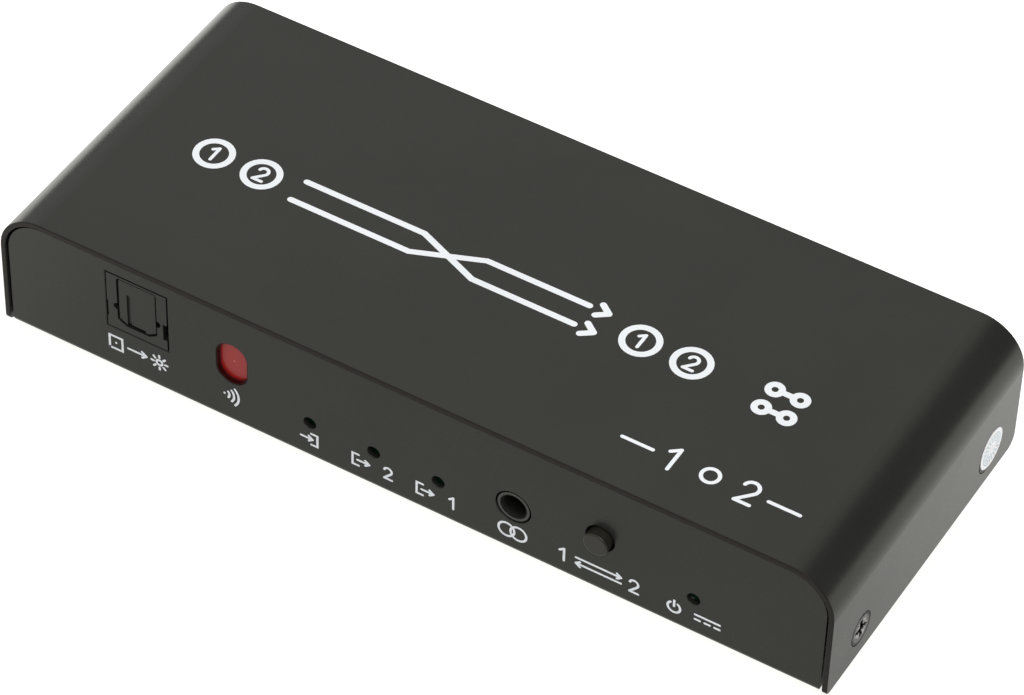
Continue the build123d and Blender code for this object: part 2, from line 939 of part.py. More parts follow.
def select_collar():
    """Y range of the collar that keeps the actuator in its switch."""
    start = select_body_front + select_front_wall + fit_gap
    return start, start + select_collar_thickness


def pocket_depth():
    """Depth of the switch's inner pocket."""
    return select_body_depth - select_front_wall - select_rear_wall


def select_button():
    """Round actuator that is pressed from the front, with its collar inside the switch."""
    y0, y1 = select_collar()
    stem = rod_y(select_button_radius, front_face - select_proud, y1, 0, 0)
    stem = fillet(stem.edges().group_by(Axis.Y)[0], select_edge)
    collar = rod_y(select_button_radius + select_collar_width, y0, y1, 0, 0)
    return Pos(select_x, 0, select_z) * (stem + collar)


def select_switch_body():
    """Moulded body of the push switch, with a bore for the actuator and a pocket for its collar."""
    half = select_body_width / 2
    body = block(
        select_x - half,
        select_x + half,
        select_body_front,
        select_body_rear,
        board_top,
        board_top + select_body_height,
    )
    bore = select_button_radius + select_bore_gap
    body -= rod_y(bore, select_body_front - small, select_body_rear - select_rear_wall, select_x, select_z)
    pocket = select_button_radius + select_collar_width + select_pocket_gap
    start = select_body_front + select_front_wall
    return body - rod_y(pocket, start, start + pocket_depth(), select_x, select_z)


def select_dome():
    """Snap disc on the pocket's rear wall, crowned towards the actuator."""
    _, collar_end = select_collar()
    rear = select_body_rear - select_rear_wall
    crown = rear - collar_end - select_travel - dome_clear
    rim = select_button_radius + select_collar_width
    outer = outline_dome(rim, crown)
    inner = outline_dome(rim - dome_thickness * 2, crown - dome_thickness)
    place = Plane(origin=(select_x, rear, select_z), x_dir=(1, 0, 0), z_dir=(0, -1, 0))
    return place * (outer - inner)


def outline_dome(rim, rise):
    """Spherical cap of a given rim radius and rise, standing on z = 0."""
    radius = (rim * rim + rise * rise) / (2 * rise)
    ball = Pos(0, 0, rise - radius) * Sphere(radius)
    return ball & Pos(0, 0, rise) * Box(4 * rim, 4 * rim, 2 * rise)


def select_switch_frame():
    """Sheet metal bracket over the switch body, with its feet on the board."""
    half = select_body_width / 2
    y0 = select_body_front + select_frame_inset
    y1 = select_body_rear - select_frame_inset
    top = board_top + select_body_height
    wide = half + select_frame_sheet
    outer = block(-wide, wide, y0, y1, board_top, top + select_frame_sheet)
    inner = block(-half, half, y0 - small, y1 + small, board_top - small, top)
    return Pos(select_x, 0, 0) * (outer - inner)


def select_terminals():
    """Two terminals from the switch's back down to the board."""
    start = select_body_rear
    lead = bent_lead(lead_width, start, start + 2 * lead_width, board_top + 2 * lead_width, lead_width)
    reach = select_body_width / 2 - lead_width
    return [Pos(select_x + side * reach, 0, 0) * lead for side in (-1, 1)]


def tongue_level():
    """Z of the middle of a video socket's tongue."""
    return socket_bottom + tongue_rise + tongue_thickness / 2


def contact(row, x):
    """One contact: along the tongue, through the block and down behind it to the board."""
    tip = socket_mouth - tongue_set_back - contact_set_back
    back = socket_back - socket_block_tail / (1 if row > 0 else 2)
    level = tongue_level() + row * (tongue_thickness / 2)
    z0 = level if row > 0 else level - contact_thickness
    z1 = z0 + contact_thickness
    points = [
        (tip, z0),
        (tip, z1),
        (back, z1),
        (back, board_top),
        (back + contact_thickness, board_top),
        (back + contact_thickness, z0),
    ]
    return Pos(x, 0, 0) * prism_x(outline(points), -contact_width / 2, contact_width / 2)


def socket_contacts():
    """Nineteen contacts of one video socket, in two staggered rows."""
    above = [(i - (contacts_above - 1) / 2) * contact_pitch for i in range(contacts_above)]
    below = [(i - (contacts_below - 1) / 2) * contact_pitch for i in range(contacts_below)]
    return [contact(1, x) for x in above] + [contact(-1, x) for x in below]


def socket_insulator(contacts):
    """Moulded block at the back of a video socket, with the tongue that carries the contacts."""
    start = socket_back - socket_block_tail / 4
    body = prism_y(socket_face(-socket_block_gap), start, socket_back + socket_block_length)
    middle = tongue_level()
    body += block(
        -tongue_width / 2,
        tongue_width / 2,
        socket_back + small,
        socket_mouth - tongue_set_back,
        middle - tongue_thickness / 2,
        middle + tongue_thickness / 2,
    )
    for piece in contacts:
        body -= piece
    return body


def socket_shell():
    """Folded metal shell of a video socket, open at the mouth and at the back."""
    outer = prism_y(socket_face(socket_shell_sheet), socket_back, socket_mouth)
    return outer - prism_y(socket_face(0), socket_back - small, socket_mouth + small)


def dc_jack_housing():
    """Moulded power socket, its round collar through the rear panel."""
    half = power_width / 2
    body = block(-half, half, power_back, power_body_rear, board_top, board_top + power_height)
    body += rod_y(power_collar_radius, power_body_rear - small, power_front, 0, power_z)
    bore_end = power_front - power_bore_length
    body -= rod_y(power_bore_radius, bore_end, power_front + small, 0, power_z)
    body -= rod_y(power_pin_root_radius + fit_gap, power_back - small, bore_end + small, 0, power_z)
    slot = power_leaf_width / 2 + fit_gap
    body -= block(
        -slot, slot, power_back - small, power_body_rear - small, board_top - small, leaf_level() + fit_gap
    )
    return Pos(power_x, 0, 0) * body


def leaf_level():
    """Z of the upper face of the power socket's sleeve spring, just outside the plug's path."""
    return power_z - power_bore_radius


def dc_jack_pin():
    """Centre pin of the power socket, with a terminal down its back to the board."""
    tip = power_front - power_pin_set_back
    pin = rod_y(power_pin_radius, power_back, tip, 0, power_z)
    pin = fillet(pin.edges().group_by(Axis.Y)[-1], power_pin_nose)
    pin += rod_y(power_pin_root_radius, power_back, power_front - power_bore_length, 0, power_z)
    pin += block(
        -power_leaf_width / 2,
        power_leaf_width / 2,
        power_back - power_leaf_thickness,
        power_back,
        board_top,
        power_z + power_pin_root_radius,
    )
    return Pos(power_x, 0, 0) * pin


def dc_jack_spring():
    """Sleeve spring under the power socket's bore, with its leg on the board."""
    level = leaf_level()
    y0 = power_back + small
    y1 = power_body_rear - 2 * small
    half = power_leaf_width / 2
    leaf = block(-half, half, y0, y1, level - power_leaf_thickness, level)
    leaf += block(-half, half, y0, y0 + power_leaf_thickness, board_top, level)
    return Pos(power_x, 0, 0) * leaf


def chip(x, y, side):
    """Leaded chip's body, held just above the board by its leads."""
    return box_on(x, y, board_top + leaded_chip_rise, side, side, leaded_chip_height)


def chip_leads(x, y, side):
    """Leads round all four sides of a chip, each a gull wing down to the board."""
    count = int((side - 2 * chip_lead_pitch) / chip_lead_pitch)
    level = board_top + leaded_chip_rise + leaded_chip_height / 2
    start = side / 2
    lead = bent_lead(chip_lead_width, start, start + chip_lead_reach, level, chip_lead_thickness)
    leads = []
    for turn in range(4):
        for i in range(count):
            shift = (i - (count - 1) / 2) * chip_lead_pitch
            leads.append(Pos(x, y, 0) * Rot(0, 0, 90 * turn) * Pos(shift, 0, 0) * lead)
    return leads


def heat_sink():
    """Finned aluminium block on the main chip's pad."""
    base = board_top + main_chip_height + pad_thickness
    side = main_chip_side
    sink = box_on(main_chip_x, main_chip_y, base, side, side, sink_base)
    pitch = (side - sink_fin_thickness) / (sink_fins - 1)
    for i in range(sink_fins):
        x = main_chip_x - (side - sink_fin_thickness) / 2 + i * pitch
        sink += box_on(x, main_chip_y, base, sink_fin_thickness, side, sink_height)
    return sink


def regulator():
    """Voltage regulator: a moulded body with a wide tab and three leads, in one piece."""
    width, depth, height = regulator_size
    thin = regulator_lead_thickness
    body = box_on(regulator_x, regulator_y, board_top, width, depth, height)
    y = (depth + regulator_reach) / 2
    body += box_on(regulator_x, regulator_y + y, board_top, regulator_tab_width, regulator_reach, thin)
    for i in (-1, 0, 1):
        x = regulator_x + i * regulator_lead_pitch
        body += box_on(x, regulator_y - y, board_top, regulator_lead_width, regulator_reach, thin)
    return body


def power_coil():
    """Shielded power inductor with chamfered corners."""
    body = box_on(coil_x, coil_y, board_top, coil_side, coil_side, coil_height)
    return chamfer(body.edges().filter_by(Axis.Z), coil_chamfer)


def capacitor_bases():
    """Moulded bases of the can capacitors, two corners cut off each."""
    bases = []
    for x, y in can_places:
        base = box_on(x, y, board_top, can_base_side, can_base_side, can_base_height)
        bases.append(chamfer(base.edges().filter_by(Axis.Z).sort_by(Axis.Y)[:2], can_base_chamfer))
    return bases


def capacitor_cans():
    """Aluminium cans with a rounded top rim and a groove near the base."""
    z0 = board_top + can_base_height
    groove = can_groove
    can = turned(
        [
            (0, 0),
            (can_radius, 0),
            (can_radius, 2 * groove),
            (can_radius - groove, 3 * groove),
            (can_radius, 4 * groove),
            (can_radius, can_height - groove),
            (can_radius - groove, can_height),
            (0, can_height),
        ]
    )
    return [Pos(x, y, z0) * can for x, y in can_places]


def crystal():
    """Quartz crystal in a low oval can."""
    face = Pos(crystal_x, crystal_y) * SlotOverall(crystal_length, crystal_width)
    return Pos(0, 0, board_top) * extrude(face, amount=crystal_height)


def small_parts(rows, size):
    """Rows of equal small parts on the board. A row is (first x, y, count)."""
    width, depth, height = size
    return [
        box_on(x + i * small_pitch, y, board_top, width, depth, height)
        for x, y, count in rows
        for i in range(count)
    ]


def chip_resistors():
    """Small resistors in front of the video sockets."""
    y = socket_back - socket_block_tail - small_row_gap
    return small_parts([(x - small_pitch, y, 3) for x in socket_x], resistor_size)


def chip_capacitors():
    """Small ceramic capacitors beside the chips."""
    main_y = main_chip_y - main_chip_side / 2 - small_row_gap
    sound_y = sound_chip_y - sound_chip_side / 2 - chip_lead_reach - small_row_gap
    rows = [
        (main_chip_x - 2 * small_pitch, main_y, 3),
        (sound_chip_x + small_pitch, sound_y, 3),
        (control_chip_x - small_pitch, control_chip_y + control_chip_side, 3),
    ]
    return small_parts(rows, ceramic_size)


def seal_sticker():
    """Thin round seal on the right leg's outer face, over the rear screw."""
    return rod_x(
        seal_radius,
        half_width,
        half_width + seal_thickness,
        cover_screw_y + seal_offset,
        cover_screw_z + seal_rise,
    )


def video_sockets():
    """Shell, insulator and contacts of each video socket, by node name."""
    contacts = socket_contacts()
    insulator = socket_insulator(contacts)
    shell = socket_shell()
    nodes = {}
    for name, x in zip(socket_names, socket_x):
        nodes[f"video_{name}_shell"] = Pos(x, 0, 0) * shell
        nodes[f"video_{name}_insulator"] = Pos(x, 0, 0) * insulator
        nodes[f"video_{name}_contacts"] = [Pos(x, 0, 0) * piece for piece in contacts]
    return nodes


def board_parts():
    """Chips and other parts that stand on the board, by node name."""
    chip_top = board_top + main_chip_height
    side = main_chip_side
    return {
        "main_chip": box_on(main_chip_x, main_chip_y, board_top, side, side, main_chip_height),
        "thermal_pad": box_on(main_chip_x, main_chip_y, chip_top, side, side, pad_thickness),
        "heat_sink": heat_sink(),
        "sound_chip": chip(sound_chip_x, sound_chip_y, sound_chip_side),
        "sound_chip_leads": chip_leads(sound_chip_x, sound_chip_y, sound_chip_side),
        "control_chip": chip(control_chip_x, control_chip_y, control_chip_side),
        "control_chip_leads": chip_leads(control_chip_x, control_chip_y, control_chip_side),
        "voltage_regulator": regulator(),
        "power_coil": power_coil(),
        "capacitor_bases": capacitor_bases(),
        "capacitor_cans": capacitor_cans(),
        "crystal": crystal(),
        "chip_resistors": chip_resistors(),
        "chip_capacitors": chip_capacitors(),
    }


def case_parts():
    """The case, its fasteners, its feet and the board, by node name."""
    screw = countersunk_screw()
    places = [cover_screw_place(s, y) for s in (-1, 1) for y in (-cover_screw_y, cover_screw_y)]
    standoffs = [Pos(x, y, 0) * standoff() for x, y in corners(standoff_x, standoff_y)]
    board_screws = [Pos(x, y, board_top) * pan_screw() for x, y in corners(standoff_x, standoff_y)]
    return {
        "top_cover": top_cover(),
        "base_tray": base_tray(),
        "cover_screws": [place * screw for place in places],
        "seal_sticker": seal_sticker(),
        "rubber_feet": [Pos(x, y, 0) * foot() for x, y in corners(foot_x, foot_y)],
        "board_standoffs": standoffs,
        "board_screws": board_screws,
        "main_board": main_board(),
    }


def front_parts():
    """Everything behind the front panel, by node name."""
    nodes = {
        "optical_housing": optical_housing(),
        "optical_shutter": optical_shutter(),
        "shutter_pin": shutter_pin(),
        "shutter_spring": shutter_spring(),
        "optical_emitter": optical_emitter(),
        "optical_leads": optical_leads(),
        "ir_window": ir_window(),
        "ir_receiver": ir_receiver(),
        "ir_receiver_leads": ir_receiver_leads(),
        "audio_jack_housing": audio_jack_housing(),
        "audio_jack_contacts": audio_jack_contacts(),
        "select_button": select_button(),
        "select_switch_body": select_switch_body(),
        "select_switch_frame": select_switch_frame(),
        "select_dome": select_dome(),
        "select_terminals": select_terminals(),
    }
    for name, x in zip(led_names, led_places):
        nodes[f"led_{name}"] = indicator(x)
    return nodes


def power_parts():
    """The power socket, by node name."""
    return {
        "dc_jack_housing": dc_jack_housing(),
        "dc_jack_pin": dc_jack_pin(),
        "dc_jack_spring": dc_jack_spring(),
    }


def write(name, shape):
    """Writes one node's solids to its STEP file."""
    pieces = shape if isinstance(shape, list) else [shape]
    solids = [solid for piece in pieces for solid in piece.solids()]
    node = Compound(label=name, children=solids) if len(solids) > 1 else solids[0]
    export_step(node, f"parts/{name}.step")


os.makedirs("parts", exist_ok=True)
for group in (case_parts(), front_parts(), video_sockets(), power_parts(), board_parts()):
    for node_name, node_shape in group.items():
        write(node_name, node_shape)
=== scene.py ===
"""Looks of a small video switch in a folded steel case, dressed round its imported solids.

Metres, +Z up. The front panel faces -Y, the video sockets face +Y and the cover's screws face +X and -X.
Places come from the solids' own boxes, so that only what the solids don't hold has a size here.
"""

import json
import logging
import math
from dataclasses import dataclass, replace
from enum import Enum

import bpy
import numpy as np
from mathutils import Matrix, Vector


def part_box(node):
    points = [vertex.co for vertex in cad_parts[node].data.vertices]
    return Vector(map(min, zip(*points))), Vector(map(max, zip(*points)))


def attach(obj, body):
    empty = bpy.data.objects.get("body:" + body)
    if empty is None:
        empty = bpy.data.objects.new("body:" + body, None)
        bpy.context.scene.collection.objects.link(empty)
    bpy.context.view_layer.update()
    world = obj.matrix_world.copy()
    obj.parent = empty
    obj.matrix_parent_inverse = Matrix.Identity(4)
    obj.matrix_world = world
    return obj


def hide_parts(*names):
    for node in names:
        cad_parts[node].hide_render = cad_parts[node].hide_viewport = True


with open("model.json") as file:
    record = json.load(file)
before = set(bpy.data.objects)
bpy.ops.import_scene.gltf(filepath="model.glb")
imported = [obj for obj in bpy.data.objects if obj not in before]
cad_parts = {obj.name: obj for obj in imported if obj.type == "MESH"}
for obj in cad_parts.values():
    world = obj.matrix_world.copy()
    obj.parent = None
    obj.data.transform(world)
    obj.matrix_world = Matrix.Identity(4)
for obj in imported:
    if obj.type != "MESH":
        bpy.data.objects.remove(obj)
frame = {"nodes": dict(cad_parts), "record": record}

MM = 0.001
LOG = logging.getLogger("video_switch")
CASE_BODY = "case"

Colour = tuple[float, float, float]
Socket = bpy.types.NodeSocket
Value = Socket | float | Colour | Vector
Stroke = tuple[np.ndarray, bool]


class Slot(Enum):
    """The record's material slots that have one finish for most of their solids."""

    POWDER_COAT = "powder_coat"
    BARE_STEEL = "bare_steel"
    SEAL = "seal"
    RUBBER = "rubber"
    CIRCUIT_BOARD = "circuit_board"
    BLACK_PLASTIC = "black_plastic"
    CHIP_PLASTIC = "chip_plastic"
    NICKEL = "nickel"
    GOLD_CONTACT = "gold_contact"
    TIN_LEAD = "tin_lead"
    CLEAR_EPOXY = "clear_epoxy"
    ALUMINIUM = "aluminium"
    SILICONE_PAD = "silicone_pad"
    CERAMIC = "ceramic"
    FERRITE = "ferrite"


# Meshes worked out as whole arrays


def grid_faces(rows: int, columns: int, close_rows: bool = False, close_columns: bool = False) -> np.ndarray:
    """Quads between neighbouring points of a grid.

    Point (i, j) has the number i * columns + j, and a face joins (i, j), (i, j+1), (i+1, j+1) and (i+1, j).

    Args:
        rows: number of rows of points.
        columns: number of points in a row.
        close_rows: whether the last row joins the first.
        close_columns: whether each row's last point joins its first.

    Returns:
        An array of four point numbers a face.
    """
    i, j = np.meshgrid(
        np.arange(rows if close_rows else rows - 1),
        np.arange(columns if close_columns else columns - 1),
        indexing="ij",
    )
    below, right = (i + 1) % rows, (j + 1) % columns
    quads = [i * columns + j, i * columns + right, below * columns + right, below * columns + j]
    return np.stack(quads, axis=-1).reshape(-1, 4)


def turn_outwards(points: np.ndarray, faces: np.ndarray) -> np.ndarray:
    """Faces in the order that makes a closed shape's normals point outwards.

    Six times the volume is the sum over the faces of a.(b x c), for both halves of each quad. A negative one
    means that the faces point inwards, and their order is reversed.

    Args:
        points: one row of X, Y and Z for each point.
        faces: four point numbers a face.

    Returns:
        The faces, reversed if they pointed inwards.
    """
    a, b, c, d = (points[faces[:, k]] for k in range(4))
    volume = np.einsum("ij,ij->", a, np.cross(b, c)) + np.einsum("ij,ij->", a, np.cross(c, d))
    return faces if volume > 0 else faces[:, ::-1]


def solid_object(name: str, points: np.ndarray, faces: np.ndarray, crease: float = 35.0) -> bpy.types.Object:
    """A mesh object at the origin, linked to the scene and shaded smooth up to its creases.

    Args:
        name: the piece's name.
        points: one row of X, Y and Z for each point, in metres.
        faces: four point numbers a face. Two equal ones make it a triangle.
        crease: angle in degrees above which an edge stays sharp.

    Returns:
        The object.
    """
    mesh = bpy.data.meshes.new(name)
    mesh.from_pydata(points.tolist(), [], [list(dict.fromkeys(face)) for face in faces.tolist()])
    mesh.shade_smooth()
    mesh.set_sharp_from_angle(angle=math.radians(crease))
    made = bpy.data.objects.new(name, mesh)
    bpy.context.scene.collection.objects.link(made)
    return made


def gather(parts: list[tuple[np.ndarray, np.ndarray]]) -> tuple[np.ndarray, np.ndarray]:
    """Joins several meshes' points and faces into one mesh's.

    Args:
        parts: the points and faces of each mesh.

    Returns:
        All points, and all faces with their point numbers moved on past the points before them.
    """
    counts = np.cumsum([0] + [len(points) for points, _ in parts[:-1]])
    points = np.concatenate([points for points, _ in parts])
    faces = np.concatenate([faces + count for count, (_, faces) in zip(counts, parts)])
    return points, faces


def unit(vectors: np.ndarray) -> np.ndarray:
    """Vectors of length one along each row, or of none where a row has none."""
    smallest = 1e-12
    return vectors / np.maximum(np.linalg.norm(vectors, axis=-1, keepdims=True), smallest)


@dataclass(frozen=True)
class Face:
    """A flat face of the case to draw on.

    Attributes:
        origin: the point (0, 0) of the drawing.
        right: direction of the drawing's first axis.
        up: direction of its second axis.
    """

    origin: Vector
    right: Vector
    up: Vector

    def place(self, points: np.ndarray) -> np.ndarray:
        """Points of (right, up, out of the face) as places: origin + u * right + v * up + w * normal."""
        axes = np.array([self.right, self.up, self.right.cross(self.up)])
        return np.array(self.origin) + points @ axes


def line(*points: tuple[float, float]) -> Stroke:
    """A stroke along straight runs between points."""
    return np.array(points, float), False


def arc(centre: tuple[float, float], radius: float, start: float, end: float) -> Stroke:
    """A stroke along a circle's arc.

    Its points are centre + radius * (cos t, sin t), with t from start to end, about 12 degrees apart.

    Args:
        centre: the circle's centre.
        radius: its radius.
        start: angle of the first point, in degrees.
        end: angle of the last point, in degrees.

    Returns:
        The stroke.
    """
    step = 12
    count = max(int(abs(end - start) / step), 2) + 1
    turn = np.radians(np.linspace(start, end, count))
    return np.array(centre) + radius * np.stack([np.cos(turn), np.sin(turn)], axis=-1), False


def ring(centre: tuple[float, float], radius: float) -> Stroke:
    """A closed round stroke."""
    points, _ = arc(centre, radius, 0.0, 360.0)
    return points[:-1], True


def dot(x: float, y: float) -> Stroke:
    """A round dot as wide as the stroke, made as a run too short to see."""
    half = 0.01
    return line((x - half, y), (x + half, y))


def run_on(*strokes: Stroke) -> Stroke:
    """Strokes joined end to end into one."""
    return np.concatenate([points for points, _ in strokes]), False


def moved(strokes: list[Stroke], x: float, y: float = 0.0) -> list[Stroke]:
    """Strokes shifted across and up."""
    return [(points + np.array([x, y]), closed) for points, closed in strokes]


def ribbon(stroke: Stroke, width: float, low: float, high: float) -> tuple[np.ndarray, np.ndarray]:
    """Closed thin solid along a stroke, with round ends.

    The section is a rectangle that lies across the path. Its half-width is width/2, divided at a bend by the
    cosine of half the turn, and a distance d beyond an open end it is the root of (width/2)^2 - d^2.

    Args:
        stroke: the path's points and whether it is closed.
        width: the stroke's width.
        low: height of the underside.
        high: height of the upper side.

    Returns:
        Points of (right, up, out) and faces.
    """
    end_points, least_half, least_cosine = 6, 0.02 * width, 0.5
    path, closed = stroke
    half = np.full(len(path), width / 2)
    if not closed:
        reach = width / 2 * np.sin(np.linspace(-math.pi / 2, 0, end_points + 1))[:-1]
        round_off = np.sqrt(np.maximum((width / 2) ** 2 - reach**2, least_half**2))
        first, last = unit(path[1] - path[0]), unit(path[-1] - path[-2])
        path = np.concatenate([path[0] + reach[:, None] * first, path, path[-1] - reach[::-1, None] * last])
        half = np.concatenate([round_off, half, round_off[::-1]])
    ahead = unit(np.roll(path, -1, axis=0) - path)
    behind = unit(path - np.roll(path, 1, axis=0))
    if not closed:
        ahead[-1], behind[0] = behind[-1], ahead[0]
    along = unit(ahead + behind)
    half = half / np.maximum((along * ahead).sum(axis=-1), least_cosine)
    across = np.stack([-along[:, 1], along[:, 0]], axis=-1) * half[:, None]
    left, right = path + across, path - across
    rows = [(left, high), (right, high), (right, low), (left, low)]
    corners = [np.concatenate([side, np.full((len(path), 1), level)], axis=-1) for side, level in rows]
    points = np.stack(corners, axis=1).reshape(-1, 3)
    faces = grid_faces(len(path), 4, close_rows=closed, close_columns=True)
    if not closed:
        end = 4 * (len(path) - 1)
        faces = np.concatenate([faces, [[3, 2, 1, 0], [end, end + 1, end + 2, end + 3]]])
    return points, turn_outwards(points, faces)


# Shader nodes


class Sketch:
    """Adds and joins the nodes of one tree."""

    def __init__(self, tree: bpy.types.NodeTree) -> None:
        """Keeps the tree that the nodes go into."""
        self.tree = tree

    def node(self, kind: str, **settings: object) -> bpy.types.Node:
        """Adds a node.

        Args:
            kind: the name of the node's type.
            settings: values of the node's own properties, by their names.

        Returns:
            The node.
        """
        made = self.tree.nodes.new(kind)
        for name, value in settings.items():
            setattr(made, name, value)
        return made

    def put(self, value: Value, socket: Socket) -> None:
        """Joins a socket to another, or sets its own value.

        Args:
            value: the socket to join it to, or the value.
            socket: the input socket.
        """
        if isinstance(value, bpy.types.NodeSocket):
            self.tree.links.new(value, socket)
        elif isinstance(value, tuple) and len(value) == 3 and socket.type == "RGBA":
            socket.default_value = (*value, 1.0)
        else:
            socket.default_value = value

    def math(self, operation: str, *values: Value, clamp: bool = False) -> Socket:
        """Works a sum on one, two or three values.

        Args:
            operation: the sum's name.
            values: what it works on, in order.
            clamp: whether the result is kept between 0 and 1.

        Returns:
            The result.
        """
        made = self.node("ShaderNodeMath", operation=operation, use_clamp=clamp)
        for value, socket in zip(values, made.inputs):
            self.put(value, socket)
        return made.outputs[0]

    def vector(self, operation: str, first: Value, second: Value | None = None) -> bpy.types.Node:
        """Works a sum on vectors.

        Args:
            operation: the sum's name.
            first: the first vector.
            second: the second vector, or the number to scale by.

        Returns:
            The node, whose output depends on the sum.
        """
        made = self.node("ShaderNodeVectorMath", operation=operation)
        self.put(first, made.inputs[0])
        if second is not None:
            self.put(second, made.inputs["Scale"] if operation == "SCALE" else made.inputs[1])
        return made

    def ramp(self, value: Value, low: float, high: float, start: float = 0.0, end: float = 1.0) -> Socket:
        """Makes a smooth step.

        Args:
            value: what it follows.
            low: the value at which the step begins. It may be above high.
            high: the value at which it ends.
            start: the result up to there.
            end: the result from there on.

        Returns:
            The result.
        """
        made = self.node("ShaderNodeMapRange", interpolation_type="SMOOTHSTEP")
        for given, socket in zip((value, low, high, start, end), made.inputs):
            self.put(given, socket)
        return made.outputs[0]

    def noise(self, vector: Value, scale: Value, detail: float = 2.0, roughness: float = 0.5) -> Socket:
        """Makes soft noise between about 0.2 and 0.8.

        Args:
            vector: the place.
            scale: how many of its coarsest lumps go into a metre.
            detail: how many finer layers it has.
            roughness: how strong each finer layer is.

        Returns:
            The noise.
        """
        made = self.node("ShaderNodeTexNoise")
        self.put(vector, made.inputs["Vector"])
        self.put(scale, made.inputs["Scale"])
        made.inputs["Detail"].default_value = detail
        made.inputs["Roughness"].default_value = roughness
        return made.outputs[0]

    def cells(self, vector: Value, scale: Value) -> bpy.types.Node:
        """Scatters points.

        Args:
            vector: the place.
            scale: how many points go into a metre.

        Returns:
            The node, which gives the distance to the nearest point and a colour for each.
        """
        made = self.node("ShaderNodeTexVoronoi")
        self.put(vector, made.inputs["Vector"])
        self.put(scale, made.inputs["Scale"])
        return made

    def length(self, across: Value, along: Value) -> Socket:
        """Length of a flat vector, the root of across^2 + along^2."""
        squares = [self.math("POWER", value, 2.0) for value in (across, along)]
        return self.math("SQRT", self.math("ADD", *squares))

    def mix(self, share: Value, first: Value, second: Value) -> Socket:
        """Mixes two colours.

        Args:
            share: share of the second colour.
            first: the first colour.
            second: the second colour.

        Returns:
            The colour between them.
        """
        made = self.node("ShaderNodeMix", data_type="RGBA")
        for value, socket in zip((share, first, second), (made.inputs[0], made.inputs[6], made.inputs[7])):
            self.put(value, socket)
        return made.outputs[2]

    def split(self, vector: Value) -> tuple[Socket, Socket, Socket]:
        """Takes a vector apart.

        Args:
            vector: the vector.

        Returns:
            Its X, Y and Z.
        """
        made = self.node("ShaderNodeSeparateXYZ")
        self.put(vector, made.inputs[0])
        return made.outputs[0], made.outputs[1], made.outputs[2]

    def use(self, tree: bpy.types.NodeTree, **values: Value) -> bpy.types.Node:
        """Places a node group.

        Args:
            tree: the group.
            values: its inputs' values, by their names in small letters.

        Returns:
            The group's node.
        """
        made = self.node("ShaderNodeGroup", node_tree=tree)
        for name, value in values.items():
            self.put(value, made.inputs[name.replace("_", " ").title()])
        return made


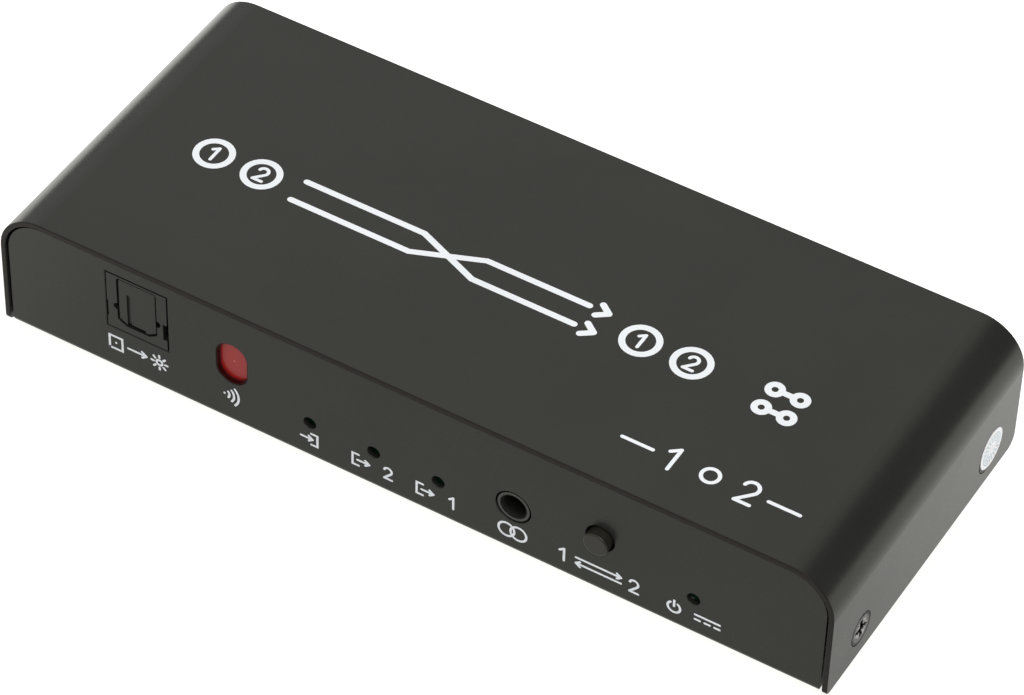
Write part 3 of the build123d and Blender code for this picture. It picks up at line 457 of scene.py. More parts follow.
class Effects:
    """The shader node groups that several finishes share."""

    def __init__(self) -> None:
        """Builds each group once."""
        self.grain = self.build_grain()
        self.marks = self.build_marks()
        self.dust = self.build_dust()
        self.edges = self.build_edges()
        self.drawn = self.build_drawn()

    @staticmethod
    def start(name: str, inputs: dict[str, str], outputs: dict[str, str]) -> tuple[Sketch, dict, dict]:
        """A new group with named inputs and outputs.

        Args:
            name: the group's name.
            inputs: each input's name and kind of socket.
            outputs: each output's name and kind of socket.

        Returns:
            The sketch, the input sockets by name and the output sockets by name.
        """
        tree = bpy.data.node_groups.new(name, "ShaderNodeTree")
        for label, kind in inputs.items():
            tree.interface.new_socket(label, in_out="INPUT", socket_type=f"NodeSocket{kind}")
        for label, kind in outputs.items():
            tree.interface.new_socket(label, in_out="OUTPUT", socket_type=f"NodeSocket{kind}")
        sketch = Sketch(tree)
        entry = sketch.node("NodeGroupInput")
        leave = sketch.node("NodeGroupOutput")
        given = {label: entry.outputs[label] for label in inputs}
        wanted = {label: leave.inputs[label] for label in outputs}
        return sketch, given, wanted

    def build_grain(self) -> bpy.types.NodeTree:
        """Fine pebbled grain: two noises, one of them finer, and a slow wandering tone.

        Returns:
            The group.
        """
        sketch, given, wanted = self.start(
            "surface_grain", {"Vector": "Vector", "Size": "Float"}, {"Height": "Float", "Tone": "Float"}
        )
        finer, fine_share = 2.7, 0.45
        slow_scale, slow_share = 55.0, 0.65
        darkest, palest = 0.32, 0.68
        scale = sketch.math("DIVIDE", 1.0, given["Size"])
        coarse = sketch.noise(given["Vector"], scale, 1.0)
        fine = sketch.noise(given["Vector"], sketch.math("MULTIPLY", scale, finer), 2.0)
        coarse = sketch.math("MULTIPLY", coarse, 1 - fine_share)
        height = sketch.math("MULTIPLY_ADD", fine, fine_share, coarse)
        slow = sketch.noise(given["Vector"], slow_scale, 3.0, 0.55)
        tone = sketch.math("MULTIPLY_ADD", height, 1 - slow_share, sketch.math("MULTIPLY", slow, slow_share))
        sketch.put(height, wanted["Height"])
        sketch.put(sketch.ramp(tone, darkest, palest), wanted["Tone"])
        return sketch.tree

    def build_marks(self) -> bpy.types.NodeTree:
        """Faint handling marks: soft patches, and short streaks from a finer noise stretched along X.

        Returns:
            The group.
        """
        sketch, given, wanted = self.start(
            "handling_marks", {"Vector": "Vector", "Size": "Float"}, {"Mask": "Float"}
        )
        stretch, finer, streak_share = Vector((0.12, 1.0, 1.0)), 9.0, 0.35
        patch_from, patch_full, streak_from, streak_full = 0.42, 0.66, 0.62, 0.76
        scale = sketch.math("DIVIDE", 1.0, given["Size"])
        patches = sketch.ramp(sketch.noise(given["Vector"], scale, 3.0, 0.6), patch_from, patch_full)
        stretched = sketch.vector("MULTIPLY", given["Vector"], stretch).outputs[0]
        streaks = sketch.noise(stretched, sketch.math("MULTIPLY", scale, finer), 2.0)
        streaks = sketch.ramp(streaks, streak_from, streak_full)
        both = sketch.math("MULTIPLY_ADD", streaks, streak_share, patches, clamp=True)
        sketch.put(both, wanted["Mask"])
        return sketch.tree

    def build_dust(self) -> bpy.types.NodeTree:
        """A few round specks: what is nearer than a radius to a scattered centre, for a share of the centres.

        The radius of each is between 0.4 and 1.2 times the one given.

        Returns:
            The group.
        """
        sketch, given, wanted = self.start(
            "dust_specks",
            {"Vector": "Vector", "Spacing": "Float", "Radius": "Float", "Share": "Float"},
            {"Mask": "Float"},
        )
        least, spread, full = 0.4, 0.8, 0.5
        cells = sketch.cells(given["Vector"], sketch.math("DIVIDE", 1.0, given["Spacing"]))
        reach = sketch.math("DIVIDE", given["Radius"], given["Spacing"])
        luck, size, _ = sketch.split(cells.outputs["Color"])
        reach = sketch.math("MULTIPLY", reach, sketch.math("MULTIPLY_ADD", size, spread, least))
        away = sketch.math("DIVIDE", cells.outputs["Distance"], reach)
        near = sketch.math("SUBTRACT", 1.0, away, clamp=True)
        chosen = sketch.math("LESS_THAN", luck, given["Share"])
        sketch.put(sketch.math("MULTIPLY", sketch.ramp(near, 0.0, full), chosen), wanted["Mask"])
        return sketch.tree

    def build_edges(self) -> bpy.types.NodeTree:
        """Softened edges: the normal averaged within a radius, and a mask of how far it leaves the true one.

        Returns:
            The group.
        """
        sketch, given, wanted = self.start(
            "soft_edges", {"Radius": "Float"}, {"Normal": "Vector", "Mask": "Float"}
        )
        flat, bent = 0.99, 0.80
        bevel = sketch.node("ShaderNodeBevel", samples=6)
        sketch.put(given["Radius"], bevel.inputs["Radius"])
        true = sketch.node("ShaderNodeNewGeometry").outputs["True Normal"]
        alike = sketch.vector("DOT_PRODUCT", bevel.outputs[0], true).outputs["Value"]
        sketch.put(bevel.outputs[0], wanted["Normal"])
        sketch.put(sketch.ramp(alike, flat, bent), wanted["Mask"])
        return sketch.tree

    def build_drawn(self) -> bpy.types.NodeTree:
        """Fine lines left by rolling or drawing: a noise stretched 25 times along X.

        Returns:
            The group.
        """
        sketch, given, wanted = self.start(
            "drawn_lines", {"Vector": "Vector", "Size": "Float"}, {"Height": "Float"}
        )
        stretch = Vector((0.04, 1.0, 1.0))
        stretched = sketch.vector("MULTIPLY", given["Vector"], stretch).outputs[0]
        lines = sketch.noise(stretched, sketch.math("DIVIDE", 1.0, given["Size"]), 2.0)
        sketch.put(lines, wanted["Height"])
        return sketch.tree


# Finishes

BLACK: Colour = (0.0165, 0.0165, 0.0148)
OLIVE_TINT: Colour = (1.0, 1.0, 0.90)
DUST_COLOUR: Colour = (0.42, 0.41, 0.38)
DUST_SPACING = 2.6 * MM
DUST_RADIUS = 0.10 * MM
HANDLING_SIZE = 14 * MM
WEAR_SCALE = 900.0
WEAR_SPAN = (0.35, 0.6)


@dataclass(frozen=True)
class Finish:
    """A surface finish, which makes one material.

    Attributes:
        name: the material's name.
        colour: its main colour.
        roughness: its main roughness.
        metallic: 1 for bare metal.
        grain: size of its grain.
        grain_depth: height of its grain.
        tone: share by which its colour wanders.
        rub: amount by which handling marks change the roughness.
        edge: radius within which its edges are softened, or 0.
        wear: how much of an edge is worn.
        wear_colour: colour of a worn edge.
        dust: share of the speck centres that carry a speck.
        specular: strength of the plain reflection.
        coat: strength of a clear layer on top.
    """

    name: str
    colour: Colour
    roughness: float
    metallic: float = 0.0
    grain: float = 0.25 * MM
    grain_depth: float = 0.004 * MM
    tone: float = 0.10
    rub: float = 0.08
    edge: float = 0.06 * MM
    wear: float = 0.0
    wear_colour: Colour = (0.3, 0.3, 0.3)
    dust: float = 0.0
    specular: float = 0.5
    coat: float = 0.0

    def pattern(self, sketch: Sketch, coords: Socket) -> Value:
        """Colour before wear and dust. A finish with a pattern gives its own."""
        return self.colour

    def relief(self, sketch: Sketch, effects: Effects, coords: Socket) -> Socket:
        """Height of the surface's grain, from 0 to 1."""
        return sketch.use(effects.grain, vector=coords, size=self.grain).outputs["Height"]

    def finish_shader(self, shader: bpy.types.Node, sketch: Sketch, coords: Socket) -> None:
        """Sets what only some finishes have."""

    def material(self, effects: Effects) -> bpy.types.Material:
        """Builds the material.

        Args:
            effects: the shared node groups.

        Returns:
            The material.
        """
        made = bpy.data.materials.new(self.name)
        made.use_nodes = True
        made.node_tree.nodes.clear()
        sketch = Sketch(made.node_tree)
        shader = sketch.node("ShaderNodeBsdfPrincipled")
        out = sketch.node("ShaderNodeOutputMaterial")
        sketch.put(shader.outputs[0], out.inputs["Surface"])
        coords = sketch.node("ShaderNodeTexCoord").outputs["Object"]
        grain = sketch.use(effects.grain, vector=coords, size=self.grain)
        shade = sketch.math("MULTIPLY_ADD", grain.outputs["Tone"], 2 * self.tone, 1 - self.tone)
        colour = sketch.vector("SCALE", self.pattern(sketch, coords), shade).outputs[0]
        normal = None
        if self.edge:
            edges = sketch.use(effects.edges, radius=self.edge)
            normal = edges.outputs["Normal"]
            if self.wear:
                broken = sketch.ramp(sketch.noise(coords, WEAR_SCALE, 3.0), *WEAR_SPAN)
                worn = sketch.math("MULTIPLY", edges.outputs["Mask"], broken)
                colour = sketch.mix(sketch.math("MULTIPLY", worn, self.wear), colour, self.wear_colour)
        if self.dust:
            specks = sketch.use(
                effects.dust, vector=coords, spacing=DUST_SPACING, radius=DUST_RADIUS, share=self.dust
            )
            colour = sketch.mix(specks.outputs["Mask"], colour, DUST_COLOUR)
        marks = sketch.use(effects.marks, vector=coords, size=HANDLING_SIZE).outputs["Mask"]
        rough = sketch.math("MULTIPLY_ADD", marks, self.rub, self.roughness - self.rub / 2)
        bump = sketch.node("ShaderNodeBump")
        bump.inputs["Distance"].default_value = self.grain_depth
        sketch.put(self.relief(sketch, effects, coords), bump.inputs["Height"])
        if normal is not None:
            sketch.put(normal, bump.inputs["Normal"])
        sketch.put(colour, shader.inputs["Base Color"])
        sketch.put(rough, shader.inputs["Roughness"])
        sketch.put(bump.outputs[0], shader.inputs["Normal"])
        shader.inputs["Metallic"].default_value = self.metallic
        shader.inputs["Specular IOR Level"].default_value = self.specular
        shader.inputs["Coat Weight"].default_value = self.coat
        self.finish_shader(shader, sketch, coords)
        return made


@dataclass(frozen=True)
class DrawnMetal(Finish):
    """Bare or plated metal with fine lines along its length."""

    metallic: float = 1.0

    def relief(self, sketch: Sketch, effects: Effects, coords: Socket) -> Socket:
        """Height of the drawn lines."""
        return sketch.use(effects.drawn, vector=coords, size=self.grain).outputs["Height"]


@dataclass(frozen=True)
class PowderCoat(Finish):
    """Baked powder coat, with slightly olive reflections and dull brownish cut edges on its sheet.

    Attributes:
        tint: colour of its reflections.
        cut: distance from the middle, along Y, beyond which only a cut edge lies.
        cut_colour: colour of a cut edge.
        cut_shine: share of the plain reflection that a cut edge keeps.
        cut_soft: half the width of the step from the one to the other.
    """

    tint: Colour = OLIVE_TINT
    cut: float = 26.85 * MM
    cut_colour: Colour = (0.0135, 0.011, 0.0095)
    cut_shine: float = 0.50
    cut_soft: float = 0.03 * MM

    def on_cut(self, sketch: Sketch, coords: Socket) -> Socket:
        """1 where |y| is beyond the cut."""
        _, y, _ = sketch.split(coords)
        return sketch.ramp(sketch.math("ABSOLUTE", y), self.cut - self.cut_soft, self.cut + self.cut_soft)

    def pattern(self, sketch: Sketch, coords: Socket) -> Socket:
        """Main colour, and the cut edges' colour on them."""
        return sketch.mix(self.on_cut(sketch, coords), self.colour, self.cut_colour)

    def finish_shader(self, shader: bpy.types.Node, sketch: Sketch, coords: Socket) -> None:
        """Tints the reflections and dulls the cut edges.

        Args:
            shader: the material's shader.
            sketch: its node tree.
            coords: the place.
        """
        shader.inputs["Specular Tint"].default_value = (*self.tint, 1.0)
        lost = sketch.math("MULTIPLY", self.on_cut(sketch, coords), self.specular * (1 - self.cut_shine))
        sketch.put(sketch.math("SUBTRACT", self.specular, lost), shader.inputs["Specular IOR Level"])


@dataclass(frozen=True)
class BlackMoulding(Finish):
    """Black moulded plastic with slightly olive reflections.

    Attributes:
        tint: colour of its reflections.
    """

    tint: Colour = OLIVE_TINT

    def finish_shader(self, shader: bpy.types.Node, sketch: Sketch, coords: Socket) -> None:
        """Tints the reflections."""
        shader.inputs["Specular Tint"].default_value = (*self.tint, 1.0)


@dataclass(frozen=True)
class JackMoulding(BlackMoulding):
    """Black moulding of a round jack, with a bright polished ring and a dull band round its bore, and painted
    shade inside the bore.

    Attributes:
        axis: a point on the bore's axis, which runs along Y.
        dull: radius up to which the face is dull.
        dull_shine: strength of the plain reflection there.
        bright: radius in the middle of the polished ring.
        bright_half: half the ring's width.
        bright_full: half the width of its brightest part.
        bright_shine: what the ring adds to the plain reflection.
        mouth: Y behind which only the bore's inside lies.
        bore_shade_colour: colour behind the mouth, darker as painted shade.
        bore_shine: share of the plain reflection kept there.
    """

    axis: Vector = Vector((0.0, 0.0, 0.0))
    dull: float = 2.08 * MM
    dull_shine: float = 0.10
    bright: float = 2.27 * MM
    bright_half: float = 0.13 * MM
    bright_full: float = 0.06 * MM
    bright_shine: float = 0.45
    mouth: float = 0.0
    bore_shade_colour: Colour = (0.012, 0.012, 0.010)
    bore_shine: float = 0.3

    def by_mouth(self, sketch: Sketch, coords: Socket, before: float, behind: float) -> Socket:
        """A value that goes from one before the mouth to another behind it.

        Args:
            sketch: the material's node tree.
            coords: the place.
            before: the value before the mouth.
            behind: the value behind it.

        Returns:
            The value.
        """
        _, y, _ = sketch.split(coords)
        soft = 0.10 * MM
        return sketch.ramp(y, self.mouth - soft, self.mouth + soft, before, behind)

    def pattern(self, sketch: Sketch, coords: Socket) -> Socket:
        """Main colour, and a darker colour behind the mouth as painted shade deep in the bore."""
        # Painted shade: a darker colour inside the bore, behind the mouth.
        return sketch.mix(self.by_mouth(sketch, coords, 0.0, 1.0), self.colour, self.bore_shade_colour)

    def finish_shader(self, shader: bpy.types.Node, sketch: Sketch, coords: Socket) -> None:
        """Shines by the distance to the axis, little within the dull radius and much near the bright one.

        Args:
            shader: the material's shader.
            sketch: its node tree.
            coords: the place.
        """
        super().finish_shader(shader, sketch, coords)
        soft = 0.05 * MM
        offset = sketch.vector("SUBTRACT", coords, self.axis).outputs[0]
        flat = sketch.vector("MULTIPLY", offset, Vector((1, 0, 1))).outputs[0]
        away = sketch.vector("LENGTH", flat).outputs["Value"]
        shine = sketch.ramp(away, self.dull - soft, self.dull + soft, self.dull_shine, self.specular)
        off = sketch.math("ABSOLUTE", sketch.math("SUBTRACT", away, self.bright))
        polish = sketch.ramp(off, self.bright_half, self.bright_full, 0.0, self.bright_shine)
        shine = sketch.math("ADD", shine, polish)
        shine = sketch.math("MULTIPLY", shine, self.by_mouth(sketch, coords, 1.0, self.bore_shine))
        sketch.put(shine, shader.inputs["Specular IOR Level"])


@dataclass(frozen=True)
class CrossScrew(Finish):
    """Blackened screw with painted shade on its rim and in its recess, and bright flecks round the recess:
    metal rubbed by the driver, painted bright as glints.

    Attributes:
        side: |y| of the screws' axes, which run along X.
        level: z of the axes.
        rim: radius beyond which the head is dark.
        face: |x| below which the recess lies.
        shade_colour: colour of the painted shade on the rim and in the recess.
        dark_loss: share of the plain reflection that they lose.
        fleck_scale: how many flecks go into a metre.
        fleck_span: the noise at which a fleck begins and at which it is full.
        flecked: radius up to which the flecks are full, and the one beyond which there are none.
    """

    side: float = 0.0
    level: float = 0.0
    rim: float = 2.08 * MM
    face: float = 64.9 * MM
    shade_colour: Colour = (0.002, 0.002, 0.002)
    dark_loss: float = 0.9
    fleck_scale: float = 2600.0
    fleck_span: tuple[float, float] = (0.52, 0.58)
    flecked: tuple[float, float] = (1.1 * MM, 1.9 * MM)

    def from_axis(self, sketch: Sketch, coords: Socket) -> Socket:
        """Distance to the nearest axis: the length of (|y| - side, z - level).

        Args:
            sketch: the material's node tree.
            coords: the place.

        Returns:
            The distance.
        """
        _, y, z = sketch.split(coords)
        return sketch.length(
            sketch.math("SUBTRACT", sketch.math("ABSOLUTE", y), self.side),
            sketch.math("SUBTRACT", z, self.level),
        )

    def shade_mask(self, sketch: Sketch, coords: Socket) -> Socket:
        """A mask of the painted shade: the recess, by |x|, and the rim, by the distance to the axis.

        Args:
            sketch: the material's node tree.
            coords: the place.

        Returns:
            The mask.
        """
        x, _, _ = sketch.split(coords)
        soft = 0.04 * MM
        depth = sketch.ramp(sketch.math("ABSOLUTE", x), self.face, self.face - 2 * soft)
        away = self.from_axis(sketch, coords)
        return sketch.math("MAXIMUM", depth, sketch.ramp(away, self.rim - soft, self.rim + soft))

    def pattern(self, sketch: Sketch, coords: Socket) -> Socket:
        """Main colour with bright flecks round the recess, rubbed metal painted bright as glints, and nearly
        black as painted shade on the rim and in the recess.

        Args:
            sketch: the material's node tree.
            coords: the place.

        Returns:
            The colour.
        """
        full, none = self.flecked
        flecks = sketch.ramp(sketch.noise(coords, self.fleck_scale, 2.0), *self.fleck_span)
        # Flecks of rubbed metal, painted near white as glints.
        rubbed_and_glinting = sketch.math("MULTIPLY", flecks, sketch.ramp(self.from_axis(sketch, coords), none, full))
        colour = sketch.mix(rubbed_and_glinting, self.colour, self.wear_colour)
        # Painted shade on the rim and in the recess.
        return sketch.mix(self.shade_mask(sketch, coords), colour, self.shade_colour)

    def finish_shader(self, shader: bpy.types.Node, sketch: Sketch, coords: Socket) -> None:
        """Takes the shine off where the shade is painted.

        Args:
            shader: the material's shader.
            sketch: its node tree.
            coords: the place.
        """
        loss = -self.dark_loss * self.specular
        kept = sketch.math("MULTIPLY_ADD", self.shade_mask(sketch, coords), loss, self.specular)
        sketch.put(kept, shader.inputs["Specular IOR Level"])


@dataclass(frozen=True)
class RedWindow(Finish):
    """Moulded red plastic, with painted shade on and next to the lip that lines its hole, and a painted
    highlight in its middle.

    Attributes:
        middle: the middle of its face.
        straight: half the length of the hole's straight sides.
        radius: radius of the hole's round ends.
        margin: width of the painted shade on the face next to the lip.
        margin_share: how much of the lip's dark colour that painted shade takes.
        lip: Y in front of which only the lip lies.
        lip_soft: depth of the step to it.
        lip_shade_colour: colour of the lip, darkened as painted shade.
        lip_shine: strength of the plain reflection on it.
        highlight_offset: place of the painted highlight from the middle.
        mark: radius of the painted highlight.
        highlight_colour: colour of the painted highlight.
    """

    middle: Vector = Vector((0.0, 0.0, 0.0))
    straight: float = 1.0
    radius: float = 1.0
    margin: float = 0.36 * MM
    margin_share: float = 0.85
    lip: float = -1.0
    lip_soft: float = 0.05 * MM
    lip_shade_colour: Colour = (0.030, 0.002, 0.0015)
    lip_shine: float = 0.1
    highlight_offset: Vector = Vector((-0.1 * MM, 0.0, -0.1 * MM))
    mark: float = 0.13 * MM
    highlight_colour: Colour = (0.62, 0.22, 0.16)

    def pattern(self, sketch: Sketch, coords: Socket) -> Socket:
        """Face colour, with painted shade on the lip and the margin, and a painted highlight where its place
        is near.

        The lip is what lies in front of its Y. The margin is where the length of (x, max(|z| - straight, 0)),
        taken from the middle, nears the radius.

        Args:
            sketch: the material's node tree.
            coords: the place.

        Returns:
            The colour.
        """
        _, y, _ = sketch.split(coords)
        x, _, z = sketch.split(sketch.vector("SUBTRACT", coords, self.middle).outputs[0])
        over = sketch.math("MAXIMUM", sketch.math("SUBTRACT", sketch.math("ABSOLUTE", z), self.straight), 0.0)
        inner = self.radius - self.margin
        start, end = inner - 0.05 * MM, inner + 0.12 * MM
        # Painted shade: the face darkens towards the lip, where the hole's wall shades it.
        rim_shade = sketch.ramp(sketch.length(x, over), start, end, 0.0, self.margin_share)
        lip_shade = sketch.math("MAXIMUM", sketch.ramp(y, self.lip, self.lip - self.lip_soft), rim_shade)
        # Painted highlight: a pale spot in the middle of the face.
        away = sketch.vector("DISTANCE", coords, self.middle + self.highlight_offset).outputs["Value"]
        mark_end, mark_full = 1.3 * self.mark, 0.6 * self.mark
        highlighted = sketch.ramp(away, mark_end, mark_full)
        return sketch.mix(lip_shade, sketch.mix(highlighted, self.colour, self.highlight_colour), self.lip_shade_colour)

    def finish_shader(self, shader: bpy.types.Node, sketch: Sketch, coords: Socket) -> None:
        """Keeps the lip from shining, as part of its painted shade.

        Args:
            shader: the material's shader.
            sketch: its node tree.
            coords: the place.
        """
        _, y, _ = sketch.split(coords)
        shine = sketch.ramp(y, self.lip, self.lip - self.lip_soft, self.specular, self.lip_shine)
        sketch.put(shine, shader.inputs["Specular IOR Level"])


@dataclass(frozen=True)
class ClearLens(Finish):
    """Clear moulded epoxy.

    Attributes:
        clear: share of the light that goes through.
        bending: its index of refraction.
    """

    clear: float = 0.85
    bending: float = 1.5

    def finish_shader(self, shader: bpy.types.Node, sketch: Sketch, coords: Socket) -> None:
        """Lets light through."""
        shader.inputs["Transmission Weight"].default_value = self.clear
        shader.inputs["IOR"].default_value = self.bending


@dataclass(frozen=True)
class SolderResist(Finish):
    """Circuit board: solder resist over copper tracks and a scatter of small vias.

    Attributes:
        track_colour: colour over a track.
        track_scale: how many of the tracks' bends go into a metre.
        track_count: number of tracks from the noise's 0 to its 1.
        track_span: how far from its middle a track ends and within which it is full, as shares of a step.
        via_colour: colour of a via.
        via_spacing: distance between vias.
        via_span: how far from its point a via ends and within which it is full, as shares of the spacing.
    """

    track_colour: Colour = (0.008, 0.060, 0.026)
    track_scale: float = 130.0
    track_count: float = 26.0
    track_span: tuple[float, float] = (0.20, 0.14)
    via_colour: Colour = (0.62, 0.60, 0.55)
    via_spacing: float = 2.2 * MM
    via_span: tuple[float, float] = (0.13, 0.10)

    def pattern(self, sketch: Sketch, coords: Socket) -> Socket:
        """Tracks are thin bands of a noise's contour lines, and vias are dots at scattered points.

        Args:
            sketch: the material's node tree.
            coords: the place.

        Returns:
            The colour.
        """
        heights = sketch.noise(coords, self.track_scale, 0.0)
        contours = sketch.math("FRACT", sketch.math("MULTIPLY", heights, self.track_count))
        off = sketch.math("ABSOLUTE", sketch.math("SUBTRACT", contours, 0.5))
        board = sketch.mix(sketch.ramp(off, *self.track_span), self.colour, self.track_colour)
        cells = sketch.cells(coords, 1 / self.via_spacing)
        via = sketch.ramp(cells.outputs["Distance"], *self.via_span)
        return sketch.mix(via, board, self.via_colour)


@dataclass(frozen=True)
class SealVinyl(Finish):
    """White vinyl seal with pale blue-grey rings, a band of ticks between them and a speckled middle.

    Attributes:
        middle: the seal's centre.
        rings: radii of the printed rings.
        line: half the width of a printed ring.
        band: inner and outer radius of the band of ticks.
        ticks: number of ticks round the band.
        tick_span: how far from its middle a tick ends and within which it is full, as shares of a step.
        soft: half the width of the step at the band's edges.
        speckle: distance between the specks in the middle.
        speck_span: how far from its point a speck ends and within which it is full, as shares of that.
        speckled: radius up to which the specks are full, and the one beyond which there are none.
        speckle_share: how much of the print's strength they have.
        strength: share of its colour that the print shows.
        ring_colour: colour of the print.
    """

    middle: Vector = Vector((0.0, 0.0, 0.0))
    rings: tuple[float, ...] = (1.30 * MM, 2.48 * MM)
    line: float = 0.09 * MM
    band: tuple[float, float] = (1.50 * MM, 2.30 * MM)
    ticks: int = 20
    tick_span: tuple[float, float] = (0.34, 0.20)
    soft: float = 0.05 * MM
    speckle: float = 0.42 * MM
    speck_span: tuple[float, float] = (0.42, 0.26)
    speckled: tuple[float, float] = (1.05 * MM, 1.20 * MM)
    speckle_share: float = 0.8
    strength: float = 0.6
    ring_colour: Colour = (0.12, 0.31, 0.44)

    def pattern(self, sketch: Sketch, coords: Socket) -> Socket:
        """Print on the rings, the ticks and the specks.

        A ring is where the distance to the middle is near its radius. A tick is where fract(ticks * t / 2 pi)
        is near a half, t being the angle about the middle. A speck is what lies near a scattered point.

        Args:
            sketch: the material's node tree.
            coords: the place.

        Returns:
            The colour.
        """
        away = sketch.vector("DISTANCE", coords, self.middle).outputs["Value"]
        _, y, z = sketch.split(sketch.vector("SUBTRACT", coords, self.middle).outputs[0])
        turns = sketch.math("MULTIPLY", sketch.math("ARCTAN2", z, y), self.ticks / (2 * math.pi))
        off = sketch.math("ABSOLUTE", sketch.math("SUBTRACT", sketch.math("FRACT", turns), 0.5))
        low, high = self.band
        inside = sketch.math(
            "MULTIPLY",
            sketch.ramp(away, low - self.soft, low + self.soft),
            sketch.ramp(away, high + self.soft, high - self.soft),
        )
        share = sketch.math("MULTIPLY", inside, sketch.ramp(off, *self.tick_span))
        line_end, line_full = 1.3 * self.line, 0.6 * self.line
        for radius in self.rings:
            near = sketch.math("ABSOLUTE", sketch.math("SUBTRACT", away, radius))
            share = sketch.math("MAXIMUM", share, sketch.ramp(near, line_end, line_full))
        full, none = self.speckled
        specks = sketch.ramp(sketch.cells(coords, 1 / self.speckle).outputs["Distance"], *self.speck_span)
        middle = sketch.math("MULTIPLY", specks, sketch.ramp(away, none, full, 0.0, self.speckle_share))
        share = sketch.math("MAXIMUM", share, middle)
        return sketch.mix(sketch.math("MULTIPLY", share, self.strength), self.colour, self.ring_colour)


SEAL = SealVinyl("seal_vinyl", (1.0, 1.0, 1.0), 0.36, grain=0.3 * MM, tone=0.0, edge=0.0)
# A paler, more olive copy of the black plastic: painted light, standing in for the light on the button's
# side.
LIT_BUTTON = BlackMoulding(
    "select_plastic", (0.018, 0.017, 0.013), 0.30, specular=0.34, grain=0.12 * MM, grain_depth=0.003 * MM,
    edge=0.05 * MM,
)
PRINT = Finish(
    "white_print", (0.82, 0.85, 0.87), 0.50, grain=0.10 * MM, grain_depth=0.002 * MM, tone=0.04, edge=0.0
)
FINISHES: dict[Slot, Finish] = {
    Slot.POWDER_COAT: PowderCoat(
        "powder_coat", BLACK, 0.28, specular=0.30, rub=0.02, grain=0.22 * MM, grain_depth=0.006 * MM,
        edge=0.10 * MM, wear=0.45, wear_colour=(0.17, 0.135, 0.10), dust=0.02,
    ),
    Slot.BARE_STEEL: DrawnMetal("bare_steel", (0.56, 0.56, 0.55), 0.34, grain=0.08 * MM),
    Slot.RUBBER: Finish(
        "rubber", (0.022, 0.022, 0.022), 0.75, grain=0.18 * MM, grain_depth=0.01 * MM, dust=0.05
    ),
    Slot.CIRCUIT_BOARD: SolderResist("circuit_board", (0.003, 0.030, 0.014), 0.32, coat=0.3),
    Slot.BLACK_PLASTIC: BlackMoulding(
        "black_plastic", BLACK, 0.33, specular=0.31, grain=0.16 * MM, grain_depth=0.005 * MM, wear=0.2,
        wear_colour=(0.10, 0.10, 0.10),
    ),
    Slot.CHIP_PLASTIC: Finish(
        "chip_plastic", (0.026, 0.026, 0.028), 0.58, grain=0.10 * MM, grain_depth=0.006 * MM
    ),
    Slot.NICKEL: DrawnMetal("nickel", (0.66, 0.63, 0.57), 0.24, grain=0.06 * MM, grain_depth=0.002 * MM),
    Slot.GOLD_CONTACT: DrawnMetal(
        "gold_contact", (0.86, 0.62, 0.25), 0.22, grain=0.05 * MM, grain_depth=0.001 * MM, edge=0.02 * MM
    ),
    Slot.TIN_LEAD: DrawnMetal("tin_lead", (0.66, 0.67, 0.68), 0.30, grain=0.06 * MM, edge=0.02 * MM),
    Slot.CLEAR_EPOXY: ClearLens(
        "clear_epoxy", (0.85, 0.87, 0.84), 0.12, grain=0.5 * MM, grain_depth=0.001 * MM
    ),
    Slot.ALUMINIUM: DrawnMetal("aluminium", (0.62, 0.63, 0.65), 0.38, grain=0.10 * MM),
    Slot.SILICONE_PAD: Finish("silicone_pad", (0.30, 0.38, 0.52), 0.62),
    Slot.CERAMIC: Finish("ceramic", (0.42, 0.30, 0.20), 0.45, grain=0.08 * MM),
    Slot.FERRITE: Finish("ferrite", (0.055, 0.055, 0.058), 0.55, grain=0.06 * MM, grain_depth=0.008 * MM),
    Slot.SEAL: SEAL,
}


# Drawn marks, in millimetres, with the origin at the middle of the lower side


def numeral(value: int, height: float) -> list[Stroke]:
    """The plain numeral 1 or 2.

    Args:
        value: the number.
        height: the numeral's height.

    Returns:
        Its strokes.
    """
    h = height
    if value == 1:
        return [line((-0.24 * h, 0.76 * h), (0.06 * h, h)), line((0.06 * h, h), (0.06 * h, 0))]
    bowl = arc((0, 0.72 * h), 0.28 * h, 168, -38)
    return [run_on(bowl, line((-0.28 * h, 0.0))), line((-0.28 * h, 0), (0.30 * h, 0))]


def arrow(start: float, end: float, level: float, head: float) -> list[Stroke]:
    """A level arrow.

    Args:
        start: X of its tail.
        end: X of its tip.
        level: its Y.
        head: the head's length, which is two thirds of its height.

    Returns:
        The shaft and the head's two sides.
    """
    back, rise = end - math.copysign(head, end - start), 0.75 * head
    return [
        line((start, level), (end, level)),
        line((back, level + rise), (end, level)),
        line((back, level - rise), (end, level)),
    ]


def entry_mark(height: float, inwards: bool) -> list[Stroke]:
    """An arrow into or out of an open box.

    Args:
        height: the box's height.
        inwards: whether the arrow points into it.

    Returns:
        The strokes.
    """
    h = height
    side = 1 if inwards else -1
    near, far = side * 0.12 * h, side * 0.58 * h
    box = line((near, h), (far, h), (far, 0), (near, 0))
    if inwards:
        return [box] + arrow(-0.68 * h, 0.22 * h, h / 2, 0.30 * h)
    return [box] + arrow(-0.22 * h, 0.68 * h, h / 2, 0.30 * h)


